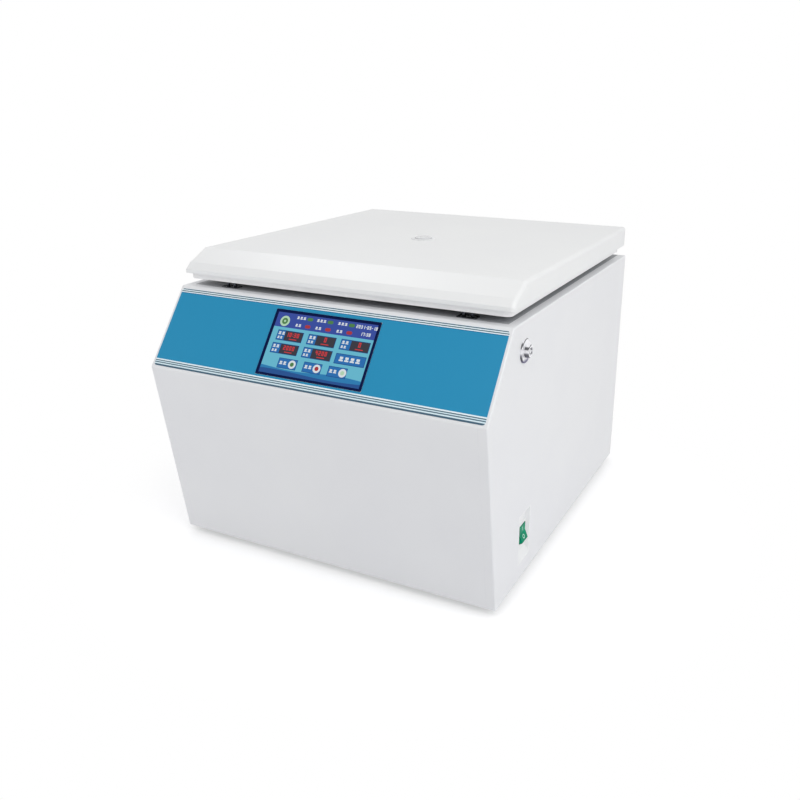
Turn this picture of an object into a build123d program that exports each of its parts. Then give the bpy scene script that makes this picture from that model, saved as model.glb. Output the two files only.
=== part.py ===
"""Bench-top microplate centrifuge.

A welded sheet-metal cabinet carries a round chamber, a hanging motor and a rotor with four
swing-out plate carriers.  A hinged lid closes the chamber and is held by a two-hook latch.
A touch screen sits in the slanted fascia; the key lock and the mains switch are on the right.

Millimetres.  X runs across the front, Y from the front to the back, Z up.  The origin is on
the bench, under the middle of the machine.
"""
import os
from math import cos, radians, sin, tan

from build123d import *

os.makedirs("parts", exist_ok=True)

# ---------------------------------------------------------------- driving dimensions

# Cabinet outline
chamber_side_space = 42.0
chamber_rear_space = 49.0
foot_height = 12.0
deck_height = 389.0
fascia_rise = 103.0
fascia_run = 77.5
front_lean = 43.5
panel_sheet = 2.0
side_round = 2.0
least_round = 0.5
apex_round = 4.0
deck_seam_inset = 13.0
base_sheet = 3.0
base_flange_height = 18.0
base_fit = 0.2

# Feet and their screws
foot_radius = 20.0
foot_inset_x = 55.0
foot_inset_y = 55.0
foot_recess_radius = 9.0
foot_recess_depth = 7.0
foot_screw_radius = 3.0
foot_screw_head_radius = 6.0
foot_screw_head = 3.5
nut_height = 5.0
nut_radius = 5.8
screw_play = 0.2

# Chamber
rotor_y = 38.0
carrier_swing_space = 75.0
bowl_sheet = 2.0
bowl_depth = 121.0
bowl_corner = 18.0
bowl_flange = 17.0
bowl_play = 1.0
seal_height = 7.1
seal_width = 9.0
seal_setback = 5.0
seal_bead = 2.4
guard_wall = 6.0
guard_gap = 3.0
chamber_plate_thickness = 6.0
chamber_plate_margin = 3.0
chamber_plate_corner = 24.0
post_radius = 11.0
post_inset_x = 32.0
post_inset_y = 30.0

# Motor and its mounts
motor_radius = 65.0
motor_length = 138.0
motor_flange_thickness = 10.0
motor_flange_half = 74.0
motor_flange_corner = 12.0
isolator_height = 20.0
isolator_radius = 14.0
isolator_spacing = 116.0
nose_radius = 22.0
nose_length = 56.0
plate_hole_radius = 40.0
bowl_hole_radius = 34.0
boot_sheet = 2.0
boot_play = 0.3
boot_setback = 6.0
boot_collar = 10.0
boot_lap = 12.0
spindle_radius = 8.0
spindle_play = 0.05
end_cap_height = 14.0
end_cap_round = 5.0
fin_count = 24
fin_depth = 3.0

# Rotor
pivot_below_deck = 54.0
carrier_corner_gap = 11.8
hub_radius = 42.0
hub_height = 28.0
hub_round = 5.0
arm_width = 18.0
arm_thickness = 16.0
head_reach = 16.0
head_width = 16.0
trunnion_radius = 4.0
trunnion_play = 0.06
trunnion_bite = 3.6
carrier_gap = 1.2
stud_radius = 6.0
stud_length = 17.0
rotor_nut_radius = 21.0
rotor_nut_height = 18.0
rotor_nut_round = 3.0
nut_scallop = 5.0

# Plate carriers, for plates of 127.8 x 85.5 mm
tray_half_length = 64.6
tray_half_width = 43.6
tray_wall = 1.9
tray_corner = 6.0
tray_bottom_drop = 36.0
tray_bottom = 2.0
tray_top_drop = 18.0
ear_thickness = 4.0
ear_radius = 11.0
tray_hole_length = 22.0
tray_hole_width = 10.0
tray_rib = 5.0

# Lid
lid_side_step = 3.0
lid_front_step = 3.8
lid_rear_reach = 2.2
lid_gap = 18.0
lid_front_wall = 5.5
lid_nose_rise = 14.5
lid_rise = 30.6
lid_nose_run = 10.2
lid_bevel_run = 45.5
lid_sheet = 1.5
lid_side_round = 6.0
lid_front_round = 6.5
lid_nose_round = 10.0
lid_bevel_round = 30.0
lid_rear_round = 8.0
liner_inset = 5.6
liner_clearance = 0.3
liner_sheet = 2.0
liner_wall_height = 13.0
liner_rear_inset = 21.2
liner_corner = 9.0
liner_edge_round = 1.2
liner_fit = 0.1
armour_thickness = 4.0
armour_margin = 30.0
armour_play = 0.3
armour_corner = 10.0
port_ring_radius = 19.5
port_ring_height = 1.0
port_radius = 13.6
port_window_rise = 2.6
port_window_round = 1.0
lid_screw_radius = 2.5
lid_screw_head_radius = 4.6
lid_screw_head = 1.8
lid_screw_inset = 14.0

# Lid hinges
hinge_setback = 5.0
hinge_rise = 8.4
hinge_spacing = 300.0
hinge_width = 84.0
knuckle_radius = 6.0
hinge_pin_radius = 3.0
hinge_play = 0.06
hinge_side_gap = 0.4
outer_knuckle = 20.0
leaf_sheet = 2.0
leaf_length = 42.0
leaf_web = 6.0
hinge_arm_length = 52.0
hinge_arm_thickness = 3.0
hinge_cap = 3.0
hinge_cap_radius = 4.0
hinge_cap_space = 6.0

# Lid latch
latch_side_inset = 72.0
latch_setback = 20.4
striker_rod = 2.5
striker_half = 6.0
striker_drop = 31.0
striker_pad = 3.0
striker_pad_half = 12.0
striker_pad_depth = 4.4
striker_pad_corner = 2.0
slot_play = 2.6
slot_bezel_width = 3.0
slot_bezel_height = 1.0
latch_shaft_setback = 15.5
latch_shaft_space = 9.8
latch_shaft_drop = 59.0
latch_shaft_radius = 5.0
latch_shaft_overhang = 34.0
latch_swing = 25.0
hook_thickness = 5.0
hook_width = 9.0
hook_nose = 7.5
hook_gap = 0.8
hook_lap = 3.0
hook_hub_radius = 9.0
latch_play = 0.06
cheek_sheet = 4.0
cheek_offset = 19.0
cheek_half = 14.0
latch_lever_x = 130.0
latch_lever_radius = 22.0
latch_lever_thickness = 6.0
latch_pin_radius = 2.0
lever_end_radius = 4.5
solenoid_length = 46.0
solenoid_half = 15.0
solenoid_gap = 16.0
plunger_radius = 5.0
plunger_play = 0.08
fork_half = 7.0
fork_sheet = 2.5
fork_play = 0.2
fork_half_height = 5.5
fork_throat = 9.0
fork_slot = 1.2
plunger_setback = 14.0
bracket_sheet = 2.0
key_lever_length = 17.0
key_lever_thickness = 3.0

# Key lock on the right side
lock_step = 1.7
lock_drop = 38.5
lock_flange_radius = 16.0
lock_flange = 2.6
lock_barrel_radius = 8.6
lock_reach = 8.6
lock_thread_radius = 9.5
lock_depth = 24.0
lock_plug_radius = 5.6
lock_play = 0.06
keyway_radius = 4.3
keyway_post = 2.7
keyway_notch = 1.4
keyway_depth = 5.0
lock_nut_radius = 14.0
lock_nut_height = 5.0
cam_length = 20.0
cam_gap = 0.4
cam_rim = 3.0
plug_setback = 0.6
cam_half = 5.0
cam_thickness = 2.6

# Mains switch pocket on the right side
switch_y = -163.0
switch_height = 77.0
pocket_half_width = 20.5
pocket_top = 111.0
pocket_bottom = 38.0
pocket_floor_half_width = 17.5
pocket_floor_half_height = 27.0
pocket_depth = 5.5
pocket_wall = 1.5
switch_frame_half_height = 16.0
switch_frame_half_width = 13.6
switch_frame_thickness = 2.2
switch_body_half_height = 15.2
switch_body_half_width = 12.8
switch_body_depth = 16.5
switch_fit = 0.3
switch_blade_sheet = 0.8
switch_blade_width = 6.0
switch_blade_length = 9.0
rocker_radius = 13.8
rocker_play = 0.2
rocker_half_width = 10.8
rocker_valley = 5.0
rocker_half_swing = 11.0
rocker_sink = 4.5
rocker_belly = 6.0
rocker_well_depth = 9.0
rocker_pin_radius = 1.5
rocker_pin_play = 0.05
rocker_pin_length = 1.2

# Slanted fascia and screen
overlay_low = 3.6
overlay_high = 124.2
overlay_margin = 2.4
overlay_corner = 4.0
overlay_thickness = 0.5
screen_up = 64.8
glass_width = 165.0
glass_height = 95.4
glass_thickness = 1.2
glass_gap = 0.3
screen_width = 154.1
screen_height = 85.9
screen_margin = 1.5
lcd_height = 100.0
lcd_depth = 5.7
lcd_bracket_sheet = 1.5
lcd_bracket_height = 64.0
lcd_bracket_leg = 3.0
board_thickness = 1.6
control_board_width = 140.0
control_board_height = 76.0
spacer_radius = 3.0
spacer_height = 7.0
board_hole_inset = 5.0
chip_height = 4.0
processor_side = 20.0
memory_length = 30.0
memory_width = 12.0
header_width = 9.0
header_length = 50.0

# Rear panel items
inlet_x = -185.0
inlet_height = 66.0
inlet_half_width = 25.0
inlet_half_height = 14.0
inlet_flange = 2.0
inlet_hole_inset = 5.0
inlet_hole_radius = 1.7
inlet_body_half_width = 14.5
inlet_body_half_height = 11.0
inlet_depth = 24.0
inlet_mouth_half_width = 12.2
inlet_mouth_half_height = 8.4
inlet_mouth_depth = 16.0
inlet_blade_step = 7.0
inlet_blade_width = 2.0
inlet_blade_height = 4.0
inlet_blade_setback = 3.0
fuse_x = -130.0
fuse_radius = 7.0
fuse_cap_radius = 8.5
fuse_cap_height = 2.0
fuse_depth = 30.0
earth_x = -105.0
earth_radius = 3.0
earth_nut_radius = 5.5
earth_reach = 2.0
earth_depth = 14.0
fan_x = 130.0
fan_height = 128.0
fan_half = 60.0
fan_corner = 6.0
fan_depth = 38.0
fan_bore = 56.0
fan_blade_tip = 53.5
fan_hub_radius = 21.0
fan_hub_length = 26.0
fan_shaft_radius = 2.5
fan_shaft_play = 0.05
fan_motor_depth = 6.0
fan_strut = 5.0
fan_gap = 1.0
fan_cap = 4.0
guard_rings = 5
guard_ring_step = 11.0
guard_bar = 2.2
guard_spoke = 5.0
guard_reach = 72.0
guard_sheet = 1.6
blade_count = 7
blade_pitch = 34.0
blade_width = 26.0
blade_sheet = 1.6
vent_slot_length = 90.0
vent_slot_width = 5.0
vent_slot_pitch = 14.0
vent_slot_count = 8
rear_vent_drop = 60.0
rear_vent_rows = 4
rear_screw_head = 2.0
rear_screw_head_radius = 4.0
rear_screw_inset = 12.0

# Electronics on the base
drive_side_gap = 28.0
drive_y = 60.0
drive_width = 90.0
drive_length = 190.0
standoff_height = 8.0
capacitor_radius = 10.0
capacitor_height = 28.0
terminal_length = 64.0
terminal_width = 14.0
terminal_height = 12.0
sink_width = 70.0
sink_length = 110.0
sink_base = 5.0
sink_height = 34.0
sink_fins = 9
sink_fin_sheet = 1.8
supply_side_gap = 34.0
supply_post_gap = 2.0
supply_width = 98.0
supply_length = 160.0
supply_height = 44.0
supply_sheet = 1.2
supply_slot = 4.0
imbalance_half = 9.0

# ---------------------------------------------------------------- shared places

pivot_radius = tray_half_length + tray_half_width + carrier_corner_gap
bowl_radius = pivot_radius + carrier_swing_space
guard_radius = bowl_radius + bowl_flange
guard_outer = guard_radius + guard_wall
plate_half = guard_outer + chamber_plate_margin
half_width = guard_outer + chamber_side_space
body_width = 2 * half_width
inner_half_width = half_width - panel_sheet
rear_y = rotor_y + guard_outer + chamber_rear_space
latch_shaft_y = rotor_y - guard_outer - latch_shaft_space
latch_y = latch_shaft_y - latch_shaft_setback
latch_spacing = 2 * (half_width - latch_side_inset)
lid_front_y = latch_y - latch_setback
fascia_top_y = lid_front_y - lid_front_step
apex_y = fascia_top_y - fascia_run
front_bottom_y = apex_y + front_lean
apex_height = deck_height - fascia_rise
latch_shaft_height = deck_height - latch_shaft_drop
lock_y = latch_shaft_y - lock_step
lock_height = deck_height - lock_drop
lid_edge_height = deck_height + lid_gap
lid_top_height = lid_edge_height + lid_rise
lid_rear_y = rear_y + lid_rear_reach
hinge_y = rear_y - hinge_setback
hinge_height = deck_height + hinge_rise
base_top = foot_height + base_sheet
deck_underside = deck_height - panel_sheet
bowl_floor = deck_height - bowl_depth
chamber_plate_top = bowl_floor - bowl_sheet
chamber_plate_bottom = chamber_plate_top - chamber_plate_thickness
motor_flange_top = chamber_plate_bottom - isolator_height
motor_flange_bottom = motor_flange_top - motor_flange_thickness
pivot_height = deck_height - pivot_below_deck
seal_top = deck_height + bowl_sheet + seal_height
liner_bottom = seal_top + liner_clearance
liner_top_face = liner_bottom + liner_sheet
armour_top = liner_top_face + armour_thickness
rotor_axis = (0, rotor_y)
lower_centre = (Align.CENTER, Align.CENTER, Align.MIN)
upper_centre = (Align.CENTER, Align.CENTER, Align.MAX)

fascia_slope = Vector(0, fascia_top_y - apex_y, deck_height - apex_height).normalized()
fascia_plane = Plane(
    origin=(0, apex_y, apex_height), x_dir=(1, 0, 0), z_dir=(0, -fascia_slope.Z, fascia_slope.Y)
)
right_side = Plane(origin=(half_width, 0, 0), x_dir=(0, 1, 0), z_dir=(1, 0, 0))
rear_side = Plane(origin=(0, rear_y, 0), x_dir=(-1, 0, 0), z_dir=(0, 1, 0))


# ---------------------------------------------------------------- shared forms

def front_line_y(height):
    """Y of the leaning lower front face at a height above the bench."""
    share = (height - foot_height) / (apex_height - foot_height)
    return front_bottom_y + share * (apex_y - front_bottom_y)


def cabinet_form(inset, bottom):
    """The cabinet's closed outer form moved inwards by inset, with its sides run down to bottom."""
    with BuildPart() as form:
        with BuildSketch(Plane.YZ) as side:
            with BuildLine():
                Polyline(
                    (front_line_y(bottom), bottom), (apex_y, apex_height),
                    (fascia_top_y, deck_height), (rear_y, deck_height), (rear_y, bottom), close=True,
                )
            make_face()
            if inset:
                offset(amount=-inset, kind=Kind.INTERSECTION)
            corners = side.vertices().sort_by(Axis.X)
            fillet([corners[0], corners[2]], max(apex_round - inset, least_round))
        extrude(amount=half_width - inset, both=True)
        end_edges = form.edges().filter_by(
            lambda edge: abs(abs(edge.center().X) - half_width + inset) < 0.01
            and edge.center().Y < rear_y - inset - 1
            and edge.center().Z > bottom + inset + 1
        )
        fillet(end_edges, max(side_round - inset, least_round))
    return form.part


def block(low, high):
    """A box between two opposite corners."""
    size = [high[i] - low[i] for i in range(3)]
    middle = [(high[i] + low[i]) / 2 for i in range(3)]
    with BuildPart() as solid:
        with Locations(tuple(middle)):
            Box(*size)
    return solid.part


def disc(plane, radius, low, high):
    """A cylinder on a plane's normal through its origin, from low to high."""
    with BuildPart() as solid:
        with BuildSketch(plane.offset(low)):
            Circle(radius)
        extrude(amount=high - low)
    return solid.part


def ring(plane, outer, inner, low, high):
    """A flat-ended tube on a plane's normal."""
    with BuildPart() as solid:
        with BuildSketch(plane.offset(low)):
            Circle(outer)
            Circle(inner, mode=Mode.SUBTRACT)
        extrude(amount=high - low)
    return solid.part


def vertical(x, y):
    """A level plane at bench height whose origin is at x, y."""
    return Plane(origin=(x, y, 0), x_dir=(1, 0, 0), z_dir=(0, 0, 1))


def along_x(y, z):
    """A plane facing +X whose origin is on the X axis line through y, z."""
    return Plane(origin=(0, y, z), x_dir=(0, 1, 0), z_dir=(1, 0, 0))


def along_y(x, z):
    """A plane facing +Y whose origin is on the Y axis line through x, z."""
    return Plane(origin=(x, 0, z), x_dir=(-1, 0, 0), z_dir=(0, 1, 0))


def turned(plane, angle):
    """The plane turned by an angle about its own normal."""
    normal = Axis((0, 0, 0), plane.z_dir)
    return Plane(origin=plane.origin, x_dir=plane.x_dir.rotate(normal, angle), z_dir=plane.z_dir)


# ---------------------------------------------------------------- base, feet

foot_x = half_width - foot_inset_x
foot_front_y = front_bottom_y + foot_inset_y
foot_rear_y = rear_y - foot_inset_y
foot_places = [(x, y) for x in (-foot_x, foot_x) for y in (foot_front_y, foot_rear_y)]

with BuildPart() as base_plate:
    add(cabinet_form(panel_sheet + base_fit, foot_height - base_flange_height))
    tray_high = foot_height + base_flange_height
    add(
        block((-body_width, apex_y, foot_height), (body_width, rear_y, tray_high)),
        mode=Mode.INTERSECT,
    )
    tray_space = cabinet_form(panel_sheet + base_fit + base_sheet, foot_height - base_flange_height)
    add(tray_space & block((-body_width, apex_y, base_top), (body_width, rear_y, 2 * tray_high)),
        mode=Mode.SUBTRACT)
    with BuildSketch(Plane.XY.offset(foot_height)):
        with Locations(*foot_places):
            Circle(foot_screw_radius + screw_play)
        with Locations(rotor_axis):
            with GridLocations(0, vent_slot_pitch, 1, vent_slot_count):
                SlotOverall(vent_slot_length, vent_slot_width)
    extrude(amount=base_sheet, mode=Mode.SUBTRACT)
base_plate.part.label = "base_plate"
export_step(base_plate.part, "parts/base_plate.step")

with BuildPart() as rubber_feet:
    with BuildSketch():
        with Locations(*foot_places):
            Circle(foot_radius)
    extrude(amount=foot_height)
    chamfer(rubber_feet.edges().group_by(Axis.Z)[0], 1.5)
    with BuildSketch():
        with Locations(*foot_places):
            Circle(foot_recess_radius)
    extrude(amount=foot_recess_depth, mode=Mode.SUBTRACT)
    with BuildSketch():
        with Locations(*foot_places):
            Circle(foot_screw_radius + screw_play)
    extrude(amount=foot_height, mode=Mode.SUBTRACT)
rubber_feet.part.label = "rubber_feet"
export_step(rubber_feet.part, "parts/rubber_feet.step")

# ---------------------------------------------------------------- cabinet panels

side_seam = half_width - deck_seam_inset
rear_seam = rear_y - panel_sheet
deck_seam = fascia_top_y + deck_seam_inset
tall = 2 * deck_height

with BuildPart() as cabinet_shell:
    add(cabinet_form(0, foot_height))
    add(cabinet_form(panel_sheet, foot_height - base_flange_height), mode=Mode.SUBTRACT)

with BuildPart() as front_panel:
    add(cabinet_shell.part)
    add(block((-side_seam, 2 * apex_y, 0), (side_seam, deck_seam, tall)), mode=Mode.INTERSECT)
    with BuildSketch(fascia_plane):
        with Locations((0, screen_up)):
            Rectangle(screen_width + 2 * screen_margin, screen_height + 2 * screen_margin)
    extrude(amount=-2 * panel_sheet, mode=Mode.SUBTRACT)
front_panel.part.label = "front_panel"
export_step(front_panel.part, "parts/front_panel.step")

with BuildPart() as left_side_panel:
    add(cabinet_shell.part)
    add(block((-body_width, 2 * apex_y, 0), (-side_seam, rear_seam, tall)), mode=Mode.INTERSECT)
left_side_panel.part.label = "left_side_panel"
export_step(left_side_panel.part, "parts/left_side_panel.step")

pocket_middle = (pocket_top + pocket_bottom) / 2
pocket_half_height = (pocket_top - pocket_bottom) / 2


def pocket_form(wall, depth):
    """The switch pocket's funnel form, grown outwards by wall and run to depth."""
    with BuildPart() as form:
        with BuildSketch(right_side):
            with Locations((switch_y, pocket_middle)):
                RectangleRounded(2 * (pocket_half_width + wall), 2 * (pocket_half_height + wall), 2)
        with BuildSketch(right_side.offset(-depth)):
            with Locations((switch_y, switch_height)):
                RectangleRounded(
                    2 * (pocket_floor_half_width + wall), 2 * (pocket_floor_half_height + wall), 2
                )
        loft()
    return form.part


with BuildPart() as right_side_panel:
    add(cabinet_shell.part)
    add(block((side_seam, 2 * apex_y, 0), (body_width, rear_seam, tall)), mode=Mode.INTERSECT)
    add(pocket_form(pocket_wall, pocket_depth + pocket_wall), mode=Mode.SUBTRACT)
    add(disc(along_x(lock_y, lock_height), lock_thread_radius + screw_play, 0, body_width),
        mode=Mode.SUBTRACT)
right_side_panel.part.label = "right_side_panel"
export_step(right_side_panel.part, "parts/right_side_panel.step")

slot_half_x = striker_half + striker_rod + slot_play
slot_half_y = striker_rod + slot_play
latch_places = [(-latch_spacing / 2, latch_y), (latch_spacing / 2, latch_y)]

with BuildPart() as top_deck:
    add(cabinet_shell.part)
    add(
        block((-side_seam, deck_seam, deck_height - 2 * panel_sheet), (side_seam, rear_seam, tall)),
        mode=Mode.INTERSECT,
    )
    with BuildSketch(Plane.XY.offset(deck_height)):
        with Locations(rotor_axis):
            Circle(bowl_radius + bowl_sheet + bowl_play)
        with Locations(*latch_places):
            Rectangle(2 * slot_half_x, 2 * slot_half_y)
    extrude(amount=-2 * panel_sheet, mode=Mode.SUBTRACT)
top_deck.part.label = "top_deck"
export_step(top_deck.part, "parts/top_deck.step")

with BuildPart() as rear_panel:
    add(cabinet_shell.part)
    add(block((-body_width, rear_seam, 0), (body_width, 2 * rear_y, tall)), mode=Mode.INTERSECT)
    with BuildSketch(rear_side):
        with Locations((-fan_x, fan_height)):
            Circle(fan_bore)
        with Locations((-inlet_x, inlet_height)):
            Rectangle(2 * (inlet_body_half_width + screw_play), 2 * (inlet_body_half_height + screw_play))
        with Locations((-fuse_x, inlet_height)):
            Circle(fuse_radius + screw_play)
        with Locations((-earth_x, inlet_height)):
            Circle(earth_radius + screw_play)
        with Locations((0, deck_height - rear_vent_drop)):
            with GridLocations(vent_slot_length + vent_slot_pitch, vent_slot_pitch, 3, rear_vent_rows):
                SlotOverall(vent_slot_length, vent_slot_width)
    extrude(amount=-2 * panel_sheet, mode=Mode.SUBTRACT)
rear_panel.part.label = "rear_panel"
export_step(rear_panel.part, "parts/rear_panel.step")

rear_screw_x = half_width - rear_screw_inset
rear_screw_low = foot_height + rear_screw_inset
rear_screw_high = deck_height - rear_screw_inset
rear_screw_middle = (rear_screw_low + rear_screw_high) / 2
with BuildPart() as cabinet_screws:
    with BuildSketch(Plane.XY.offset(foot_recess_depth - foot_screw_head)):
        with Locations(*foot_places):
            Circle(foot_screw_head_radius)
    extrude(amount=foot_screw_head)
    with BuildSketch(Plane.XY.offset(foot_recess_depth)):
        with Locations(*foot_places):
            Circle(foot_screw_radius)
    extrude(amount=foot_height - foot_recess_depth + base_sheet)
    with BuildSketch(Plane.XY.offset(base_top)):
        with Locations(*foot_places):
            RegularPolygon(nut_radius, 6)
    extrude(amount=nut_height)
    with BuildSketch(rear_side):
        with Locations((0, rear_screw_middle)):
            with GridLocations(2 * rear_screw_x, (rear_screw_high - rear_screw_low) / 2, 2, 3):
                Circle(rear_screw_head_radius)
            with GridLocations(1, rear_screw_high - rear_screw_low, 1, 2):
                Circle(rear_screw_head_radius)
    extrude(amount=rear_screw_head)
    fillet(cabinet_screws.edges().group_by(Axis.Y)[-1], 0.6 * rear_screw_head)
cabinet_screws.part.label = "cabinet_screws"
export_step(cabinet_screws.part, "parts/cabinet_screws.step")

# ---------------------------------------------------------------- fascia, screen, control board

overlay_half = half_width - side_round - overlay_margin
with BuildPart() as fascia_overlay:
    with BuildSketch(fascia_plane):
        with Locations((0, (overlay_low + overlay_high) / 2)):
            RectangleRounded(2 * overlay_half, overlay_high - overlay_low, overlay_corner)
        with Locations((0, screen_up)):
            Rectangle(glass_width + 2 * glass_gap, glass_height + 2 * glass_gap, mode=Mode.SUBTRACT)
    extrude(amount=overlay_thickness)
fascia_overlay.part.label = "fascia_overlay"
export_step(fascia_overlay.part, "parts/fascia_overlay.step")

with BuildPart() as touch_glass:
    with BuildSketch(fascia_plane):
        with Locations((0, screen_up)):
            RectangleRounded(glass_width, glass_height, 1.5)
    extrude(amount=glass_thickness)
    chamfer(touch_glass.faces().sort_by(Axis.Y)[0].edges(), 0.3)
touch_glass.part.label = "touch_glass"
export_step(touch_glass.part, "parts/touch_glass.step")

lcd_back = -panel_sheet - lcd_depth
with BuildPart() as lcd_module:
    with BuildSketch(fascia_plane.offset(-panel_sheet)):
        with Locations((0, screen_up)):
            Rectangle(glass_width, lcd_height)
    extrude(amount=-lcd_depth)
lcd_module.part.label = "lcd_module"
export_step(lcd_module.part, "parts/lcd_module.step")

leg_x = glass_width / 2 + lcd_bracket_leg
with BuildPart() as lcd_bracket:
    with BuildSketch(fascia_plane.offset(lcd_back)):
        with Locations((0, screen_up)):
            Rectangle(2 * (leg_x + lcd_bracket_sheet), lcd_bracket_height)
    extrude(amount=-lcd_bracket_sheet)
    with BuildSketch(fascia_plane.offset(-panel_sheet)):
        with Locations((0, screen_up)):
            with GridLocations(2 * leg_x + lcd_bracket_sheet, 1, 2, 1):
                Rectangle(lcd_bracket_sheet, lcd_bracket_height)
    extrude(amount=-lcd_depth)
lcd_bracket.part.label = "lcd_bracket"
export_step(lcd_bracket.part, "parts/lcd_bracket.step")

bracket_back = lcd_back - lcd_bracket_sheet
board_front = bracket_back - spacer_height
hole_x = control_board_width / 2 - board_hole_inset
hole_up = lcd_bracket_height / 2 - board_hole_inset

with BuildPart() as control_board:
    with BuildSketch(fascia_plane.offset(board_front)):
        with Locations((0, screen_up)):
            Rectangle(control_board_width, control_board_height)
    extrude(amount=-board_thickness)
    with BuildSketch(fascia_plane.offset(board_front - board_thickness)):
        with Locations((-processor_side, screen_up)):
            Rectangle(processor_side, processor_side)
        with Locations((processor_side, screen_up)):
            with GridLocations(1, 2 * memory_width, 1, 2):
                Rectangle(memory_length, memory_width)
        with Locations((header_width - control_board_width / 2, screen_up)):
            Rectangle(header_width, header_length)
    extrude(amount=-chip_height)
control_board.part.label = "control_board"
export_step(control_board.part, "parts/control_board.step")

# ---------------------------------------------------------------- mains switch

with BuildPart() as switch_pocket:
    add(pocket_form(pocket_wall, pocket_depth + pocket_wall))
    add(pocket_form(0, pocket_depth), mode=Mode.SUBTRACT)
    with BuildSketch(right_side.offset(-pocket_depth)):
        with Locations((switch_y, switch_height)):
            Rectangle(2 * (switch_body_half_width + switch_fit), 2 * (switch_body_half_height + switch_fit))
    extrude(amount=-2 * pocket_wall, mode=Mode.SUBTRACT)
switch_pocket.part.label = "switch_pocket"
export_step(switch_pocket.part, "parts/switch_pocket.step")

switch_face = -pocket_depth + switch_frame_thickness
rocker_pivot_x = half_width + switch_face - rocker_sink
rocker_line = Plane(origin=(rocker_pivot_x, switch_y, switch_height), x_dir=(0, 0, 1), z_dir=(0, 1, 0))
with BuildPart() as switch_housing:
    with BuildSketch(right_side.offset(-pocket_depth)):
        with Locations((switch_y, switch_height)):
            RectangleRounded(2 * switch_frame_half_width, 2 * switch_frame_half_height, 1.5)
    extrude(amount=switch_frame_thickness)
    with BuildSketch(right_side.offset(-pocket_depth)):
        with Locations((switch_y, switch_height)):
            Rectangle(2 * switch_body_half_width, 2 * switch_body_half_height)
    extrude(amount=-switch_body_depth)
    with BuildSketch(right_side.offset(switch_face)):
        with Locations((switch_y, switch_height)):
            Rectangle(2 * (rocker_half_width + rocker_play), 2 * (rocker_radius + rocker_play))
    extrude(amount=-(rocker_sink + rocker_well_depth), mode=Mode.SUBTRACT)
    with BuildSketch(rocker_line):
        Circle(rocker_pin_radius + rocker_pin_play)
    extrude(amount=rocker_half_width + rocker_pin_length + rocker_play, both=True, mode=Mode.SUBTRACT)
    with BuildSketch(right_side.offset(-pocket_depth - switch_body_depth)):
        with Locations((switch_y, switch_height)):
            with GridLocations(switch_body_half_width, switch_body_half_height, 2, 2):
                Rectangle(switch_blade_sheet, switch_blade_width)
    extrude(amount=-switch_blade_length)
switch_housing.part.label = "switch_housing"
export_step(switch_housing.part, "parts/switch_housing.step")

facet_rise = rocker_radius * tan(radians(rocker_half_swing))
with BuildPart() as power_rocker:
    with BuildSketch(turned(rocker_line, -rocker_half_swing)):
        Circle(rocker_radius)
        with BuildLine():
            Polyline(
                (-rocker_radius, -rocker_belly), (rocker_radius, -rocker_belly),
                (rocker_radius, rocker_valley + facet_rise), (0, rocker_valley),
                (-rocker_radius, rocker_valley + facet_rise), close=True,
            )
        make_face(mode=Mode.INTERSECT)
    extrude(amount=rocker_half_width, both=True)
    with BuildSketch(rocker_line):
        Circle(rocker_pin_radius)
    extrude(amount=rocker_half_width + rocker_pin_length, both=True)
power_rocker.part.label = "power_rocker"
export_step(power_rocker.part, "parts/power_rocker.step")

# ---------------------------------------------------------------- key lock

lock_line = along_x(lock_y, lock_height)
lock_tip = half_width + lock_reach
lock_back = half_width - lock_depth
with BuildPart() as lock_body:
    add(disc(lock_line, lock_flange_radius, half_width, half_width + lock_flange))
    chamfer(lock_body.edges().filter_by(GeomType.CIRCLE).group_by(Axis.X)[-1], 0.8)
    add(disc(lock_line, lock_barrel_radius, half_width, lock_tip))
    chamfer(lock_body.edges().filter_by(GeomType.CIRCLE).group_by(Axis.X)[-1], 0.6)
    add(disc(lock_line, lock_thread_radius, lock_back, half_width))
    add(disc(lock_line, lock_plug_radius + lock_play, lock_back - 1, lock_tip + 1), mode=Mode.SUBTRACT)
lock_body.part.label = "lock_body"
export_step(lock_body.part, "parts/lock_body.step")

with BuildPart() as lock_nut:
    with BuildSketch(lock_line.offset(inner_half_width)):
        RegularPolygon(lock_nut_radius, 6)
        Circle(lock_thread_radius + lock_play, mode=Mode.SUBTRACT)
    extrude(amount=-lock_nut_height)
lock_nut.part.label = "lock_nut"
export_step(lock_nut.part, "parts/lock_nut.step")

plug_face = lock_tip - plug_setback
cam_face = lock_back - cam_gap
with BuildPart() as lock_plug:
    add(disc(lock_line, lock_plug_radius, cam_face - cam_thickness, plug_face))
    with BuildSketch(lock_line.offset(plug_face)):
        Circle(keyway_radius)
        Circle(keyway_post, mode=Mode.SUBTRACT)
        with Locations((0, keyway_radius)):
            Rectangle(keyway_notch, 2 * keyway_notch)
    extrude(amount=-keyway_depth, mode=Mode.SUBTRACT)
    with BuildSketch(lock_line.offset(cam_face)):
        Circle(lock_plug_radius + cam_rim)
        with Locations((0, cam_length / 2)):
            Rectangle(2 * cam_half, cam_length)
        Circle(lock_plug_radius + lock_play, mode=Mode.SUBTRACT)
    extrude(amount=-cam_thickness)
lock_plug.part.label = "lock_plug"
export_step(lock_plug.part, "parts/lock_plug.step")

# ---------------------------------------------------------------- chamber

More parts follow.
